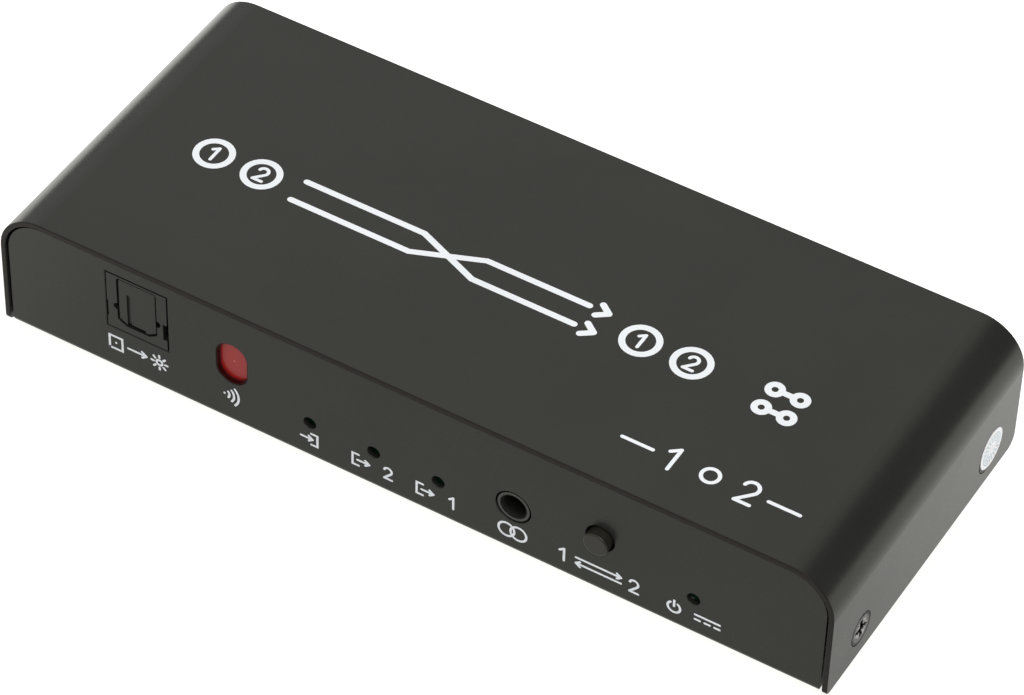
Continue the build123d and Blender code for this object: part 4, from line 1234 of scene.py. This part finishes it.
def light_mark(height: float) -> list[Stroke]:
    """A socket's outline, an arrow and a small sun, for the optical output.

    Args:
        height: the outline's height.

    Returns:
        The strokes.
    """
    h, middle, rays = height, height / 2, 8
    left, right = -2.05 * h, -1.15 * h
    past_corner = left + 0.01 * h
    outline = line((left, 0), (right, 0), (right, h), (left, h), (left, 0), (past_corner, 0))
    sun_x, near, far = 1.45 * h, 0.40 * h, 0.56 * h
    sun = [ring((sun_x, middle), 0.20 * h)]
    for angle in np.arange(rays) * (2 * math.pi / rays):
        across, up = math.cos(angle), math.sin(angle)
        sun.append(line(*((sun_x + out * across, middle + out * up) for out in (near, far))))
    return [outline, dot(-1.60 * h, middle)] + arrow(-0.75 * h, 0.55 * h, middle, 0.32 * h) + sun


def remote_mark(height: float) -> list[Stroke]:
    """A dot and three arcs beside it, for the remote control's receiver."""
    source, radii = (-0.55 * height, height / 2), (0.34, 0.66, 0.98)
    return [dot(*source)] + [arc(source, radius * height, 42, -42) for radius in radii]


def stereo_mark(height: float) -> list[Stroke]:
    """Two rings side by side that overlap, for stereo sound."""
    return [ring((x * height, height / 2), height / 2) for x in (-0.38, 0.38)]


def select_mark(height: float) -> list[Stroke]:
    """The numerals 1 and 2 with an arrow each way between them.

    Args:
        height: the numerals' height.

    Returns:
        The strokes.
    """
    h = height
    out, reach, head = 2.35 * h, 1.5 * h, 0.28 * h
    marks = moved(numeral(1, h), -out) + moved(numeral(2, h), out)
    return marks + arrow(-reach, reach, 0.74 * h, head) + arrow(reach, -reach, 0.26 * h, head)


def power_mark(height: float) -> list[Stroke]:
    """A broken ring with a bar, and a full line over a dashed one, for direct current.

    Args:
        height: the mark's rough height.

    Returns:
        The strokes.
    """
    h = height
    ring_x, radius, full_y, dashed_y = -1.35 * h, 0.46 * h, 0.68 * h, 0.25 * h
    marks = [arc((ring_x, radius), radius, 125, 415), line((ring_x, 0.55 * h), (ring_x, 1.08 * h))]
    marks.append(line((0.2 * h, full_y), (2.0 * h, full_y)))
    return marks + [line((x * h, dashed_y), ((x + 0.36) * h, dashed_y)) for x in (0.2, 0.92, 1.64)]


def polarity_mark(height: float) -> list[Stroke]:
    """Two small rings with a minus and a plus, joined to a barrel plug's sleeve and pin.

    Args:
        height: the sleeve's height.

    Returns:
        The strokes.
    """
    h = height
    middle = h / 2
    return [
        ring((-1.5 * h, middle), 0.34 * h),
        line((-1.65 * h, middle), (-1.35 * h, middle)),
        line((-1.16 * h, middle), (-0.5 * h, middle)),
        arc((0, middle), 0.5 * h, 50, 310),
        dot(0, middle),
        line((0.05 * h, middle), (1.16 * h, middle)),
        ring((1.5 * h, middle), 0.34 * h),
        line((1.35 * h, middle), (1.65 * h, middle)),
        line((1.5 * h, middle - 0.15 * h), (1.5 * h, middle + 0.15 * h)),
    ]


@dataclass(frozen=True)
class Ink:
    """Screen-printed marks on a face.

    Attributes:
        width: width of the strokes.
        height: how far the ink stands out of the face.
        sunk: how far its underside lies in the face.
        step: extra height of each stroke over the last, so that no two upper sides coincide.
    """

    width: float
    height: float = 0.012 * MM
    sunk: float = 0.006 * MM
    step: float = 0.0004 * MM

    def print_on(
        self, name: str, face: Face, strokes: list[Stroke], material: bpy.types.Material
    ) -> bpy.types.Object:
        """Prints strokes, given in millimetres, on a face as one piece that rides on the case.

        Args:
            name: the piece's name.
            face: the face, its origin where the drawing's origin goes.
            strokes: the drawing.
            material: the ink.

        Returns:
            The printed piece.
        """
        parts = [
            ribbon((points * MM, closed), self.width, -self.sunk, self.height + i * self.step)
            for i, (points, closed) in enumerate(strokes)
        ]
        points, faces = gather(parts)
        made = solid_object(name, face.place(points), faces)
        made.data.materials.append(material)
        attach(made, CASE_BODY)
        LOG.info("printed %s with %d strokes", name, len(strokes))
        return made


# Sub-assemblies


@dataclass(frozen=True)
class RoundSeal:
    """The round seal over the rear screw of the right leg.

    Attributes:
        effects: the shared node groups.
        droop: share of its thickness that the rim loses.
        dip: share of its thickness that it sags over the screw's recess.
        dip_at: middle of the recess from the seal's, along Y and Z.
        dip_radius: how wide it sags.
        hub_dip: share of its thickness that it sags in the very middle.
        rim_start: share of the radius beyond which its rings lie close together.
        sides: points round it.
    """

    effects: Effects
    droop: float = 0.35
    dip: float = 0.45
    dip_at: tuple[float, float] = (-0.8 * MM, -0.8 * MM)
    dip_radius: float = 1.3 * MM
    hub_dip: float = 0.3
    rim_start: float = 0.9
    sides: int = 64

    def disc(self, radius: float, thickness: float) -> tuple[np.ndarray, np.ndarray]:
        """Works out the seal, with the middle of its flat back at the origin.

        Its outer face is x = thickness * (1 - droop * s^8 - sag), where s is the share of the radius and sag
        is dip * exp(-(d / dip_radius)^2), d being the distance to the recess.

        Args:
            radius: the seal's radius.
            thickness: its thickness.

        Returns:
            Points, and faces whose last two points are equal where it is a triangle.
        """
        innermost, inner_rings, first_turn, rim_rings = 0.03, 16, 0.2, 6
        rim = self.rim_start + (1 - self.rim_start) * np.sin(np.linspace(first_turn, math.pi / 2, rim_rings))
        shares = np.concatenate([np.linspace(innermost, self.rim_start, inner_rings), rim])
        turns = np.linspace(0, 2 * math.pi, self.sides, endpoint=False)
        share, turn = np.meshgrid(shares, turns, indexing="ij")
        y, z = radius * share * np.cos(turn), radius * share * np.sin(turn)
        dip_y, dip_z = self.dip_at
        sag = self.dip * np.exp(-(((y - dip_y) ** 2 + (z - dip_z) ** 2) / self.dip_radius**2))
        out = thickness * (1 - self.droop * share**8 - sag)
        outer = np.stack([out, y, z], axis=-1)
        inner = outer[::-1].copy()
        inner[..., 0] = 0.0
        rows = 2 * len(shares)
        points = np.concatenate([outer, inner]).reshape(-1, 3)
        first = np.arange(self.sides)
        last = (rows - 1) * self.sides + first
        hub, back = (np.full(self.sides, len(points) + k) for k in range(2))
        faces = [
            grid_faces(rows, self.sides, close_columns=True),
            np.stack([np.roll(first, -1), first, hub, hub], axis=-1),
            np.stack([last, np.roll(last, -1), back, back], axis=-1),
        ]
        middles = np.array([[thickness * (1 - self.hub_dip), 0, 0], [0.0, 0.0, 0.0]])
        return np.concatenate([points, middles]), np.concatenate(faces)

    def stick(self) -> bpy.types.Object:
        """Sticks the seal where its solid is.

        Returns:
            The seal.
        """
        low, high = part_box("seal_sticker")
        middle = Vector((low.x, (low.y + high.y) / 2, (low.z + high.z) / 2))
        points, faces = self.disc((high.y - low.y) / 2, high.x - low.x)
        made = solid_object("round_seal", points + np.array(middle), turn_outwards(points, faces), crease=50)
        made.data.materials.append(replace(SEAL, middle=middle).material(self.effects))
        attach(made, CASE_BODY)
        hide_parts("seal_sticker")
        LOG.info("stuck %s", made.name)
        return made


@dataclass(frozen=True)
class CasePrint:
    """Everything that is printed on the case.

    Attributes:
        ink: the print's material.
        tall: height of most marks on the front, in millimetres.
        rear_tall: height of the marks over the video sockets.
        above: height of those marks above their sockets.
        crossover_at: X and Y of the crossover diagram on the top.
        grid_at: X and Y of the four joined rings.
        numbers_at: X and Y of the row of numbers.
    """

    ink: bpy.types.Material
    tall: float = 2.107
    rear_tall: float = 2.0
    above: float = 2.1 * MM
    crossover_at: tuple[float, float] = (-8.2 * MM, -4.75 * MM)
    grid_at: tuple[float, float] = (43.3 * MM, -5.3 * MM)
    numbers_at: tuple[float, float] = (41.8 * MM, -20.6 * MM)

    def put(self, name: str, face: Face, strokes: list[Stroke], width: float = 0.36) -> None:
        """Prints strokes as one piece, with a stroke's width in millimetres."""
        Ink(width=width * MM).print_on(name, face, strokes, self.ink)

    @staticmethod
    def front(x: float, height: float) -> Face:
        """The front panel.

        Args:
            x: X of the drawing's origin.
            height: its height above the cover's lower edge.

        Returns:
            The face to draw on.
        """
        panel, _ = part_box("base_tray")
        edge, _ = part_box("top_cover")
        return Face(Vector((x, panel.y, edge.z + height)), Vector((1, 0, 0)), Vector((0, 0, 1)))

    @staticmethod
    def rear(x: float, z: float) -> Face:
        """The rear panel, with the drawing's origin at (x, z)."""
        _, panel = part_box("base_tray")
        return Face(Vector((x, panel.y, z)), Vector((-1, 0, 0)), Vector((0, 0, 1)))

    @staticmethod
    def top(place: tuple[float, float]) -> Face:
        """The cover's top, with the drawing's origin at a place."""
        _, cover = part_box("top_cover")
        return Face(Vector((*place, cover.z)), Vector((1, 0, 0)), Vector((0, 1, 0)))

    def output_mark(self, value: int) -> list[Stroke]:
        """The mark of a numbered output."""
        arrow_x, number_x = -2.1, 2.3
        return moved(entry_mark(self.tall, False), arrow_x) + moved(numeral(value, self.tall), number_x)

    def print_front(self) -> None:
        """Prints the front's marks, each under what it names.

        A mark is given by its node, with its name, its strokes and its height above the cover's lower edge.
        """
        under = {
            "optical_housing": ("mark_optical", light_mark(2.35), 3.75),
            "ir_window": ("mark_remote", remote_mark(2.35), 3.75),
            "led_in": ("mark_in", entry_mark(self.tall, True), 2.55),
            "led_out_2": ("mark_out_2", self.output_mark(2), 2.7),
            "led_out_1": ("mark_out_1", self.output_mark(1), 2.7),
            "audio_jack_housing": ("mark_stereo", stereo_mark(2.45), 2.4),
            "select_button": ("mark_select", select_mark(2.3), 2.65),
            "led_power": ("mark_power", power_mark(2.05), 2.5),
        }
        for node, (name, strokes, level) in under.items():
            low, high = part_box(node)
            self.put(name, self.front((low.x + high.x) / 2, level * MM), strokes)

    def print_crossover(self) -> None:
        """Prints two pairs of ringed numbers with two arrows that cross between them."""
        tall, pair_x, number_x, number_tall = 5.1, 34.0, 3.9, 2.5
        inset, tip, bend, short, head = 0.5, 24.0, 5.0, 3.0, 1.5
        half = tall / 2
        marks, numbers = [], []
        for side in (-1, 1):
            for value, offset in ((1, -number_x), (2, number_x)):
                centre = side * pair_x + offset
                marks.append(ring((centre, half), half))
                numbers += moved(numeral(value, number_tall), centre, half - number_tall / 2)
        for level in (inset, tall - inset):
            other = tall - level
            marks.append(line((-tip, level), (-bend, level), (bend, other), (tip - short, other)))
            marks += arrow(0.0, tip, other, head)[1:]
        face = self.top(self.crossover_at)
        self.put("print_crossover", face, marks, width=0.95)
        self.put("print_socket_numbers", face, numbers, width=0.5)

    def print_grid(self) -> None:
        """Prints four rings in two rows, with a short bar between the rings of a row."""
        radius, ring_x, rise, bar = 0.95, 1.9, 3.8, 0.6
        levels = (radius, radius + rise)
        marks = [ring((side * ring_x, level), radius) for side in (-1, 1) for level in levels]
        marks += [line((-bar, level), (bar, level)) for level in levels]
        self.put("print_grid", self.top(self.grid_at), marks, width=0.95)

    def print_numbers(self) -> None:
        """Prints a ring between the numbers 1 and 2, with a bar on each side."""
        tall, number_x, radius, near, far = 3.9, 5.6, 1.25, 8.6, 13.2
        half = tall / 2
        marks = moved(numeral(1, tall), -number_x) + moved(numeral(2, tall), number_x)
        marks.append(ring((0.0, half), radius))
        marks += [line((-far, half), (-near, half)), line((near, half), (far, half))]
        self.put("print_numbers", self.top(self.numbers_at), marks, width=0.55)

    def print_rear(self) -> None:
        """Prints a mark and a number over each video socket, and the polarity beside the power inlet."""
        tall, mark_x = self.rear_tall, 1.9
        for name in ("in_1", "in_2", "out_1", "out_2"):
            low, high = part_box(f"video_{name}_shell")
            way, value = name.split("_")
            marks = moved(entry_mark(tall, way == "in"), -mark_x) + moved(numeral(int(value), tall), mark_x)
            self.put(f"mark_rear_{name}", self.rear((low.x + high.x) / 2, high.z + self.above), marks)
        low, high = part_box("dc_jack_housing")
        beside, sleeve = 6.6 * MM, 2.4
        face = self.rear(high.x + beside, (low.z + high.z) / 2 - sleeve / 2 * MM)
        self.put("mark_polarity", face, polarity_mark(sleeve), width=0.3)

    def build(self) -> None:
        """Prints the front, the top and the rear."""
        self.print_front()
        self.print_crossover()
        self.print_grid()
        self.print_numbers()
        self.print_rear()


@dataclass(frozen=True)
class ReturnSpring:
    """The optical socket's return spring, wound round the shutter's pin.

    Attributes:
        material: its steel.
        turns: number of turns.
        steps: points in a turn.
        leg_steps: points along the leg.
        wire: radius of the wire.
        sides: points round the wire.
    """

    material: bpy.types.Material
    turns: int = 7
    steps: int = 24
    leg_steps: int = 5
    wire: float = 0.1 * MM
    sides: int = 10

    def wind(self) -> bpy.types.Object:
        """Winds the spring.

        The path is x = start + length * t, y = axis + r * sin(2 pi n t) and z = axis + r * cos(2 pi n t), and
        then a straight leg along +Y from the coil's top. A circle of the wire's radius is carried along it.

        Returns:
            The spring.
        """
        low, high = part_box("shutter_spring")
        pin_low, pin_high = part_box("shutter_pin")
        axis_y, axis_z = (pin_low.y + pin_high.y) / 2, (pin_low.z + pin_high.z) / 2
        radius = high.z - axis_z - self.wire
        length = high.x - low.x - 2 * self.wire
        t = np.linspace(0, 1, self.turns * self.steps + 1)
        angle = 2 * math.pi * self.turns * t
        coil_x, coil_y = low.x + self.wire + length * t, axis_y + radius * np.sin(angle)
        coil = np.stack([coil_x, coil_y, axis_z + radius * np.cos(angle)], axis=-1)
        leg = np.repeat(coil[-1:], self.leg_steps, axis=0)
        leg[:, 1] = np.linspace(coil[-1, 1], high.y, self.leg_steps + 1)[1:]
        points, faces = tube(np.concatenate([coil, leg]), self.wire, self.sides)
        made = solid_object("shutter_return_spring", points, faces, crease=60)
        made.data.materials.append(self.material)
        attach(made, CASE_BODY)
        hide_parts("shutter_spring")
        LOG.info("wound %s with %d turns", made.name, self.turns)
        return made


def tube(path: np.ndarray, radius: float, sides: int) -> tuple[np.ndarray, np.ndarray]:
    """Closed tube along a path.

    At each point the section is a circle square to the path, in the axes across = tangent x lead and
    up = across x tangent, where lead is nearly X. Quads across the section close its ends.

    Args:
        path: the centre line's points.
        radius: the tube's radius.
        sides: points round the section.

    Returns:
        Points and faces.
    """
    lead = np.array([1.0, 0.02, 0.01])
    tangent = unit(np.gradient(path, axis=0))
    across = unit(np.cross(tangent, lead))
    up = np.cross(across, tangent)
    turn = np.linspace(0, 2 * math.pi, sides, endpoint=False)[None, :, None]
    points = path[:, None] + radius * (np.cos(turn) * across[:, None] + np.sin(turn) * up[:, None])
    points = points.reshape(-1, 3)
    first = np.arange(sides // 2 - 1)
    cap = np.stack([first, first + 1, sides - 2 - first, sides - 1 - first], axis=-1)
    end = (len(path) - 1) * sides
    faces = [grid_faces(len(path), sides, close_columns=True), cap[:, ::-1], end + cap]
    return points, turn_outwards(points, np.concatenate(faces))


# Camera, floor and light


@dataclass(frozen=True)
class PhotoCamera:
    """Camera at the photograph's viewing angle.

    Attributes:
        azimuth: turn from straight in front, to the object's right, in degrees.
        elevation: height above the horizon, in degrees.
        roll: tilt of the picture, in degrees.
        distance: distance to the aim point.
        aim: point in the middle of the picture.
        lens: focal length in millimetres.
        sensor: the picture's width behind the lens, in millimetres.
    """

    azimuth: float = 29.806
    elevation: float = 45.408
    roll: float = 1.768
    distance: float = 639.16 * MM
    aim: Vector = Vector((2.770, -3.186, 11.5)) * MM
    lens: float = 165.33
    sensor: float = 36.0

    def build(self) -> bpy.types.Object:
        """Makes the scene's camera.

        Back is (sin a cos e, -cos a cos e, sin e) and right is (cos a, sin a, 0). Both right and up are then
        turned about back by the roll.

        Returns:
            The camera.
        """
        a, e, r = (math.radians(x) for x in (self.azimuth, self.elevation, self.roll))
        back = Vector((math.sin(a) * math.cos(e), -math.cos(a) * math.cos(e), math.sin(e)))
        level = Vector((math.cos(a), math.sin(a), 0.0))
        plumb = back.cross(level)
        right = math.cos(r) * level + math.sin(r) * plumb
        up = back.cross(right)
        data = bpy.data.cameras.new("photo_camera")
        data.lens = self.lens
        data.sensor_width = self.sensor
        data.clip_start, data.clip_end = 0.01, 100.0
        camera = bpy.data.objects.new("photo_camera", data)
        turn = Matrix((right, up, back)).transposed().to_4x4()
        camera.matrix_world = Matrix.Translation(self.aim + self.distance * back) @ turn
        bpy.context.scene.collection.objects.link(camera)
        bpy.context.scene.camera = camera
        return camera


@dataclass(frozen=True)
class Studio:
    """Pale floor, a soft overhead light, a soft light from the right and a grey surrounding.

    Attributes:
        floor_half: half the floor's side.
        floor_colour: the floor's own colour.
        floor_glow: share of plain light that the camera and reflections see in the floor.
        glow_seen: strength of that light to the camera.
        glow_near: its strength in reflections, in front of the object.
        glow_far: its strength in reflections, behind the object.
        glow_left: how much stronger it is on the left.
        near_to_far: Y where glow_near ends and Y from which glow_far holds.
        right_to_left: X where glow_left begins and X from which it holds in full.
        glow_colour: its colour.
        overhead: power of the overhead light in watts.
        overhead_at: its place.
        overhead_size: the side of its square.
        side: power of the light on the right.
        side_at: its place.
        side_size: the side of its square.
        sky_high: brightness of the surrounding high on the left.
        sky_low: brightness of the surrounding low and on the right.
        sky_lean: how much less bright each step to the right makes it, as a share of a step up.
        sky_span: z - sky_lean * x where sky_low ends and where sky_high begins.
    """

    floor_half: float = 4.0
    floor_colour: Colour = (0.88, 0.88, 0.88)
    floor_glow: float = 0.85
    glow_seen: float = 1.12
    glow_near: float = 0.78
    glow_far: float = 1.62
    glow_left: float = 0.70
    near_to_far: tuple[float, float] = (-0.05, 0.09)
    right_to_left: tuple[float, float] = (-0.04, -0.11)
    glow_colour: Colour = (1.0, 1.0, 0.96)
    overhead: float = 5.0
    overhead_at: Vector = Vector((0.50, -0.38, 0.80))
    overhead_size: float = 0.70
    side: float = 0.5
    side_at: Vector = Vector((0.85, 0.05, 0.45))
    side_size: float = 0.45
    sky_high: float = 1.42
    sky_low: float = 0.27
    sky_lean: float = 0.6
    sky_span: tuple[float, float] = (0.54, 0.88)

    def build(self) -> None:
        """Builds the floor, the lights and the surrounding."""
        self.lay_floor()
        self.hang_light("overhead_light", self.overhead_at, self.overhead_size, self.overhead)
        self.hang_light("side_light", self.side_at, self.side_size, self.side)
        self.surround()
        bpy.context.scene.view_settings.view_transform = "Standard"

    def lay_floor(self) -> bpy.types.Object:
        """Lays the floor, which stays pale to the camera and to reflections but keeps its shadows.

        Returns:
            The floor.
        """
        s = self.floor_half
        corners = np.array([[-s, -s, 0], [s, -s, 0], [s, s, 0], [-s, s, 0]], float)
        floor = solid_object("floor", corners, np.array([[0, 1, 2, 3]]))
        made = bpy.data.materials.new("floor_paper")
        made.use_nodes = True
        made.node_tree.nodes.clear()
        sketch = Sketch(made.node_tree)
        out = sketch.node("ShaderNodeOutputMaterial")
        paper = sketch.node("ShaderNodeBsdfDiffuse")
        sketch.put(self.floor_colour, paper.inputs["Color"])
        glow = sketch.node("ShaderNodeEmission")
        sketch.put(self.glow_colour, glow.inputs["Color"])
        path = sketch.node("ShaderNodeLightPath")
        across, depth, _ = sketch.split(sketch.node("ShaderNodeTexCoord").outputs["Object"])
        mirrored = sketch.ramp(depth, *self.near_to_far, self.glow_near, self.glow_far)
        mirrored = sketch.math("ADD", mirrored, sketch.ramp(across, *self.right_to_left, 0.0, self.glow_left))
        plain = sketch.math("MULTIPLY", path.outputs["Is Camera Ray"], self.glow_seen)
        sketch.put(sketch.math("MAXIMUM", plain, mirrored), glow.inputs["Strength"])
        seen = sketch.math("MAXIMUM", path.outputs["Is Camera Ray"], path.outputs["Is Glossy Ray"])
        seen = sketch.math("MAXIMUM", seen, path.outputs["Is Transmission Ray"])
        share = sketch.math("MULTIPLY", seen, self.floor_glow)
        blend = sketch.node("ShaderNodeMixShader")
        sketch.put(share, blend.inputs[0])
        sketch.put(paper.outputs[0], blend.inputs[1])
        sketch.put(glow.outputs[0], blend.inputs[2])
        sketch.put(blend.outputs[0], out.inputs["Surface"])
        floor.data.materials.append(made)
        return floor

    @staticmethod
    def hang_light(name: str, place: Vector, side: float, power: float) -> bpy.types.Object:
        """Hangs a square soft light that faces the object.

        Args:
            name: the light's name.
            place: where it hangs.
            side: the side of its square.
            power: its power in watts.

        Returns:
            The light.
        """
        data = bpy.data.lights.new(name, "AREA")
        data.shape = "SQUARE"
        data.size = side
        data.energy = power
        light = bpy.data.objects.new(name, data)
        turn = (-place).to_track_quat("-Z", "Y").to_matrix().to_4x4()
        light.matrix_world = Matrix.Translation(place) @ turn
        bpy.context.scene.collection.objects.link(light)
        return light

    def surround(self) -> None:
        """Makes the surrounding, which goes smoothly from its low to its high brightness by z - lean * x."""
        world = bpy.data.worlds.new("soft_surrounding")
        world.use_nodes = True
        world.node_tree.nodes.clear()
        bpy.context.scene.world = world
        sketch = Sketch(world.node_tree)
        direction = sketch.node("ShaderNodeTexCoord").outputs["Generated"]
        right, _, rise = sketch.split(direction)
        place = sketch.math("SUBTRACT", rise, sketch.math("MULTIPLY", right, self.sky_lean))
        strength = sketch.ramp(place, *self.sky_span, self.sky_low, self.sky_high)
        glow = sketch.node("ShaderNodeBackground")
        sketch.put(strength, glow.inputs["Strength"])
        out = sketch.node("ShaderNodeOutputWorld")
        sketch.put(glow.outputs[0], out.inputs["Surface"])


def red_window() -> RedWindow:
    """The infrared window's finish, placed by a box that holds its flange and its lip.

    Returns:
        The finish.
    """
    flange_thickness, flange_margin, lip_gap = 0.8 * MM, 1.4 * MM, 0.02 * MM
    low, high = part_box("ir_window")
    face = high.y - flange_thickness
    half_width, half_height = (high.x - low.x) / 2, (high.z - low.z) / 2
    return RedWindow(
        "red_lens", (0.32, 0.008, 0.007), 0.32, specular=0.45, grain=0.4 * MM, grain_depth=0.001 * MM,
        tone=0.05, middle=Vector((low.x + half_width, face, low.z + half_height)),
        straight=half_height - half_width, radius=half_width - flange_margin, lip=face - lip_gap,
    )


def jack_moulding() -> JackMoulding:
    """The jack's finish, whose bore starts behind the bevel at the front of its box.

    Returns:
        The finish.
    """
    bevel_depth = 0.60 * MM
    low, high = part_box("audio_jack_housing")
    return JackMoulding(
        "jack_plastic", BLACK, 0.30, specular=0.31, grain=0.16 * MM, axis=(low + high) / 2,
        mouth=low.y + bevel_depth,
    )


def cross_screw() -> CrossScrew:
    """The cover screws' finish. Their heads reach the box's sides, its underside and its ends.

    Returns:
        The finish.
    """
    recess_depth = 0.10 * MM
    low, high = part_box("cover_screws")
    head = (high.z - low.z) / 2
    # The near-white wear colour is rubbed metal painted bright as glints, on the heads' edges and on the
    # flecks.
    return CrossScrew(
        "black_screw", (0.075, 0.072, 0.068), 0.34, metallic=0.5, grain=0.12 * MM, grain_depth=0.003 * MM,
        wear=0.5, wear_colour=(0.95, 0.93, 0.90), side=high.y - head, level=low.z + head,
        face=high.x - recess_depth,
    )


def dress_solids(effects: Effects, materials: dict[Slot, bpy.types.Material]) -> None:
    """Gives each solid its own finish, or else the material of its slot in the record.

    Args:
        effects: the shared node groups.
        materials: the material of each slot.
    """
    own: dict[str, Finish] = {
        "ir_window": red_window(),
        "audio_jack_housing": jack_moulding(),
        "cover_screws": cross_screw(),
        "select_button": LIT_BUTTON,
    }
    for part in frame["record"]["subparts"]:
        name = part["node"]
        solid = frame["nodes"][name]
        solid.data.materials.clear()
        if name in own:
            solid.data.materials.append(own[name].material(effects))
        else:
            solid.data.materials.append(materials[Slot(part["material_slot"])])


def main() -> None:
    """Builds the scene."""
    logging.basicConfig(level=logging.INFO, format="%(name)s: %(message)s")
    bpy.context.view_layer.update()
    effects = Effects()
    materials = {slot: finish.material(effects) for slot, finish in FINISHES.items()}
    dress_solids(effects, materials)
    PhotoCamera().build()
    Studio().build()
    CasePrint(PRINT.material(effects)).build()
    RoundSeal(effects).stick()
    ReturnSpring(materials[Slot.BARE_STEEL]).wind()


if __name__ == "__main__":
    main()
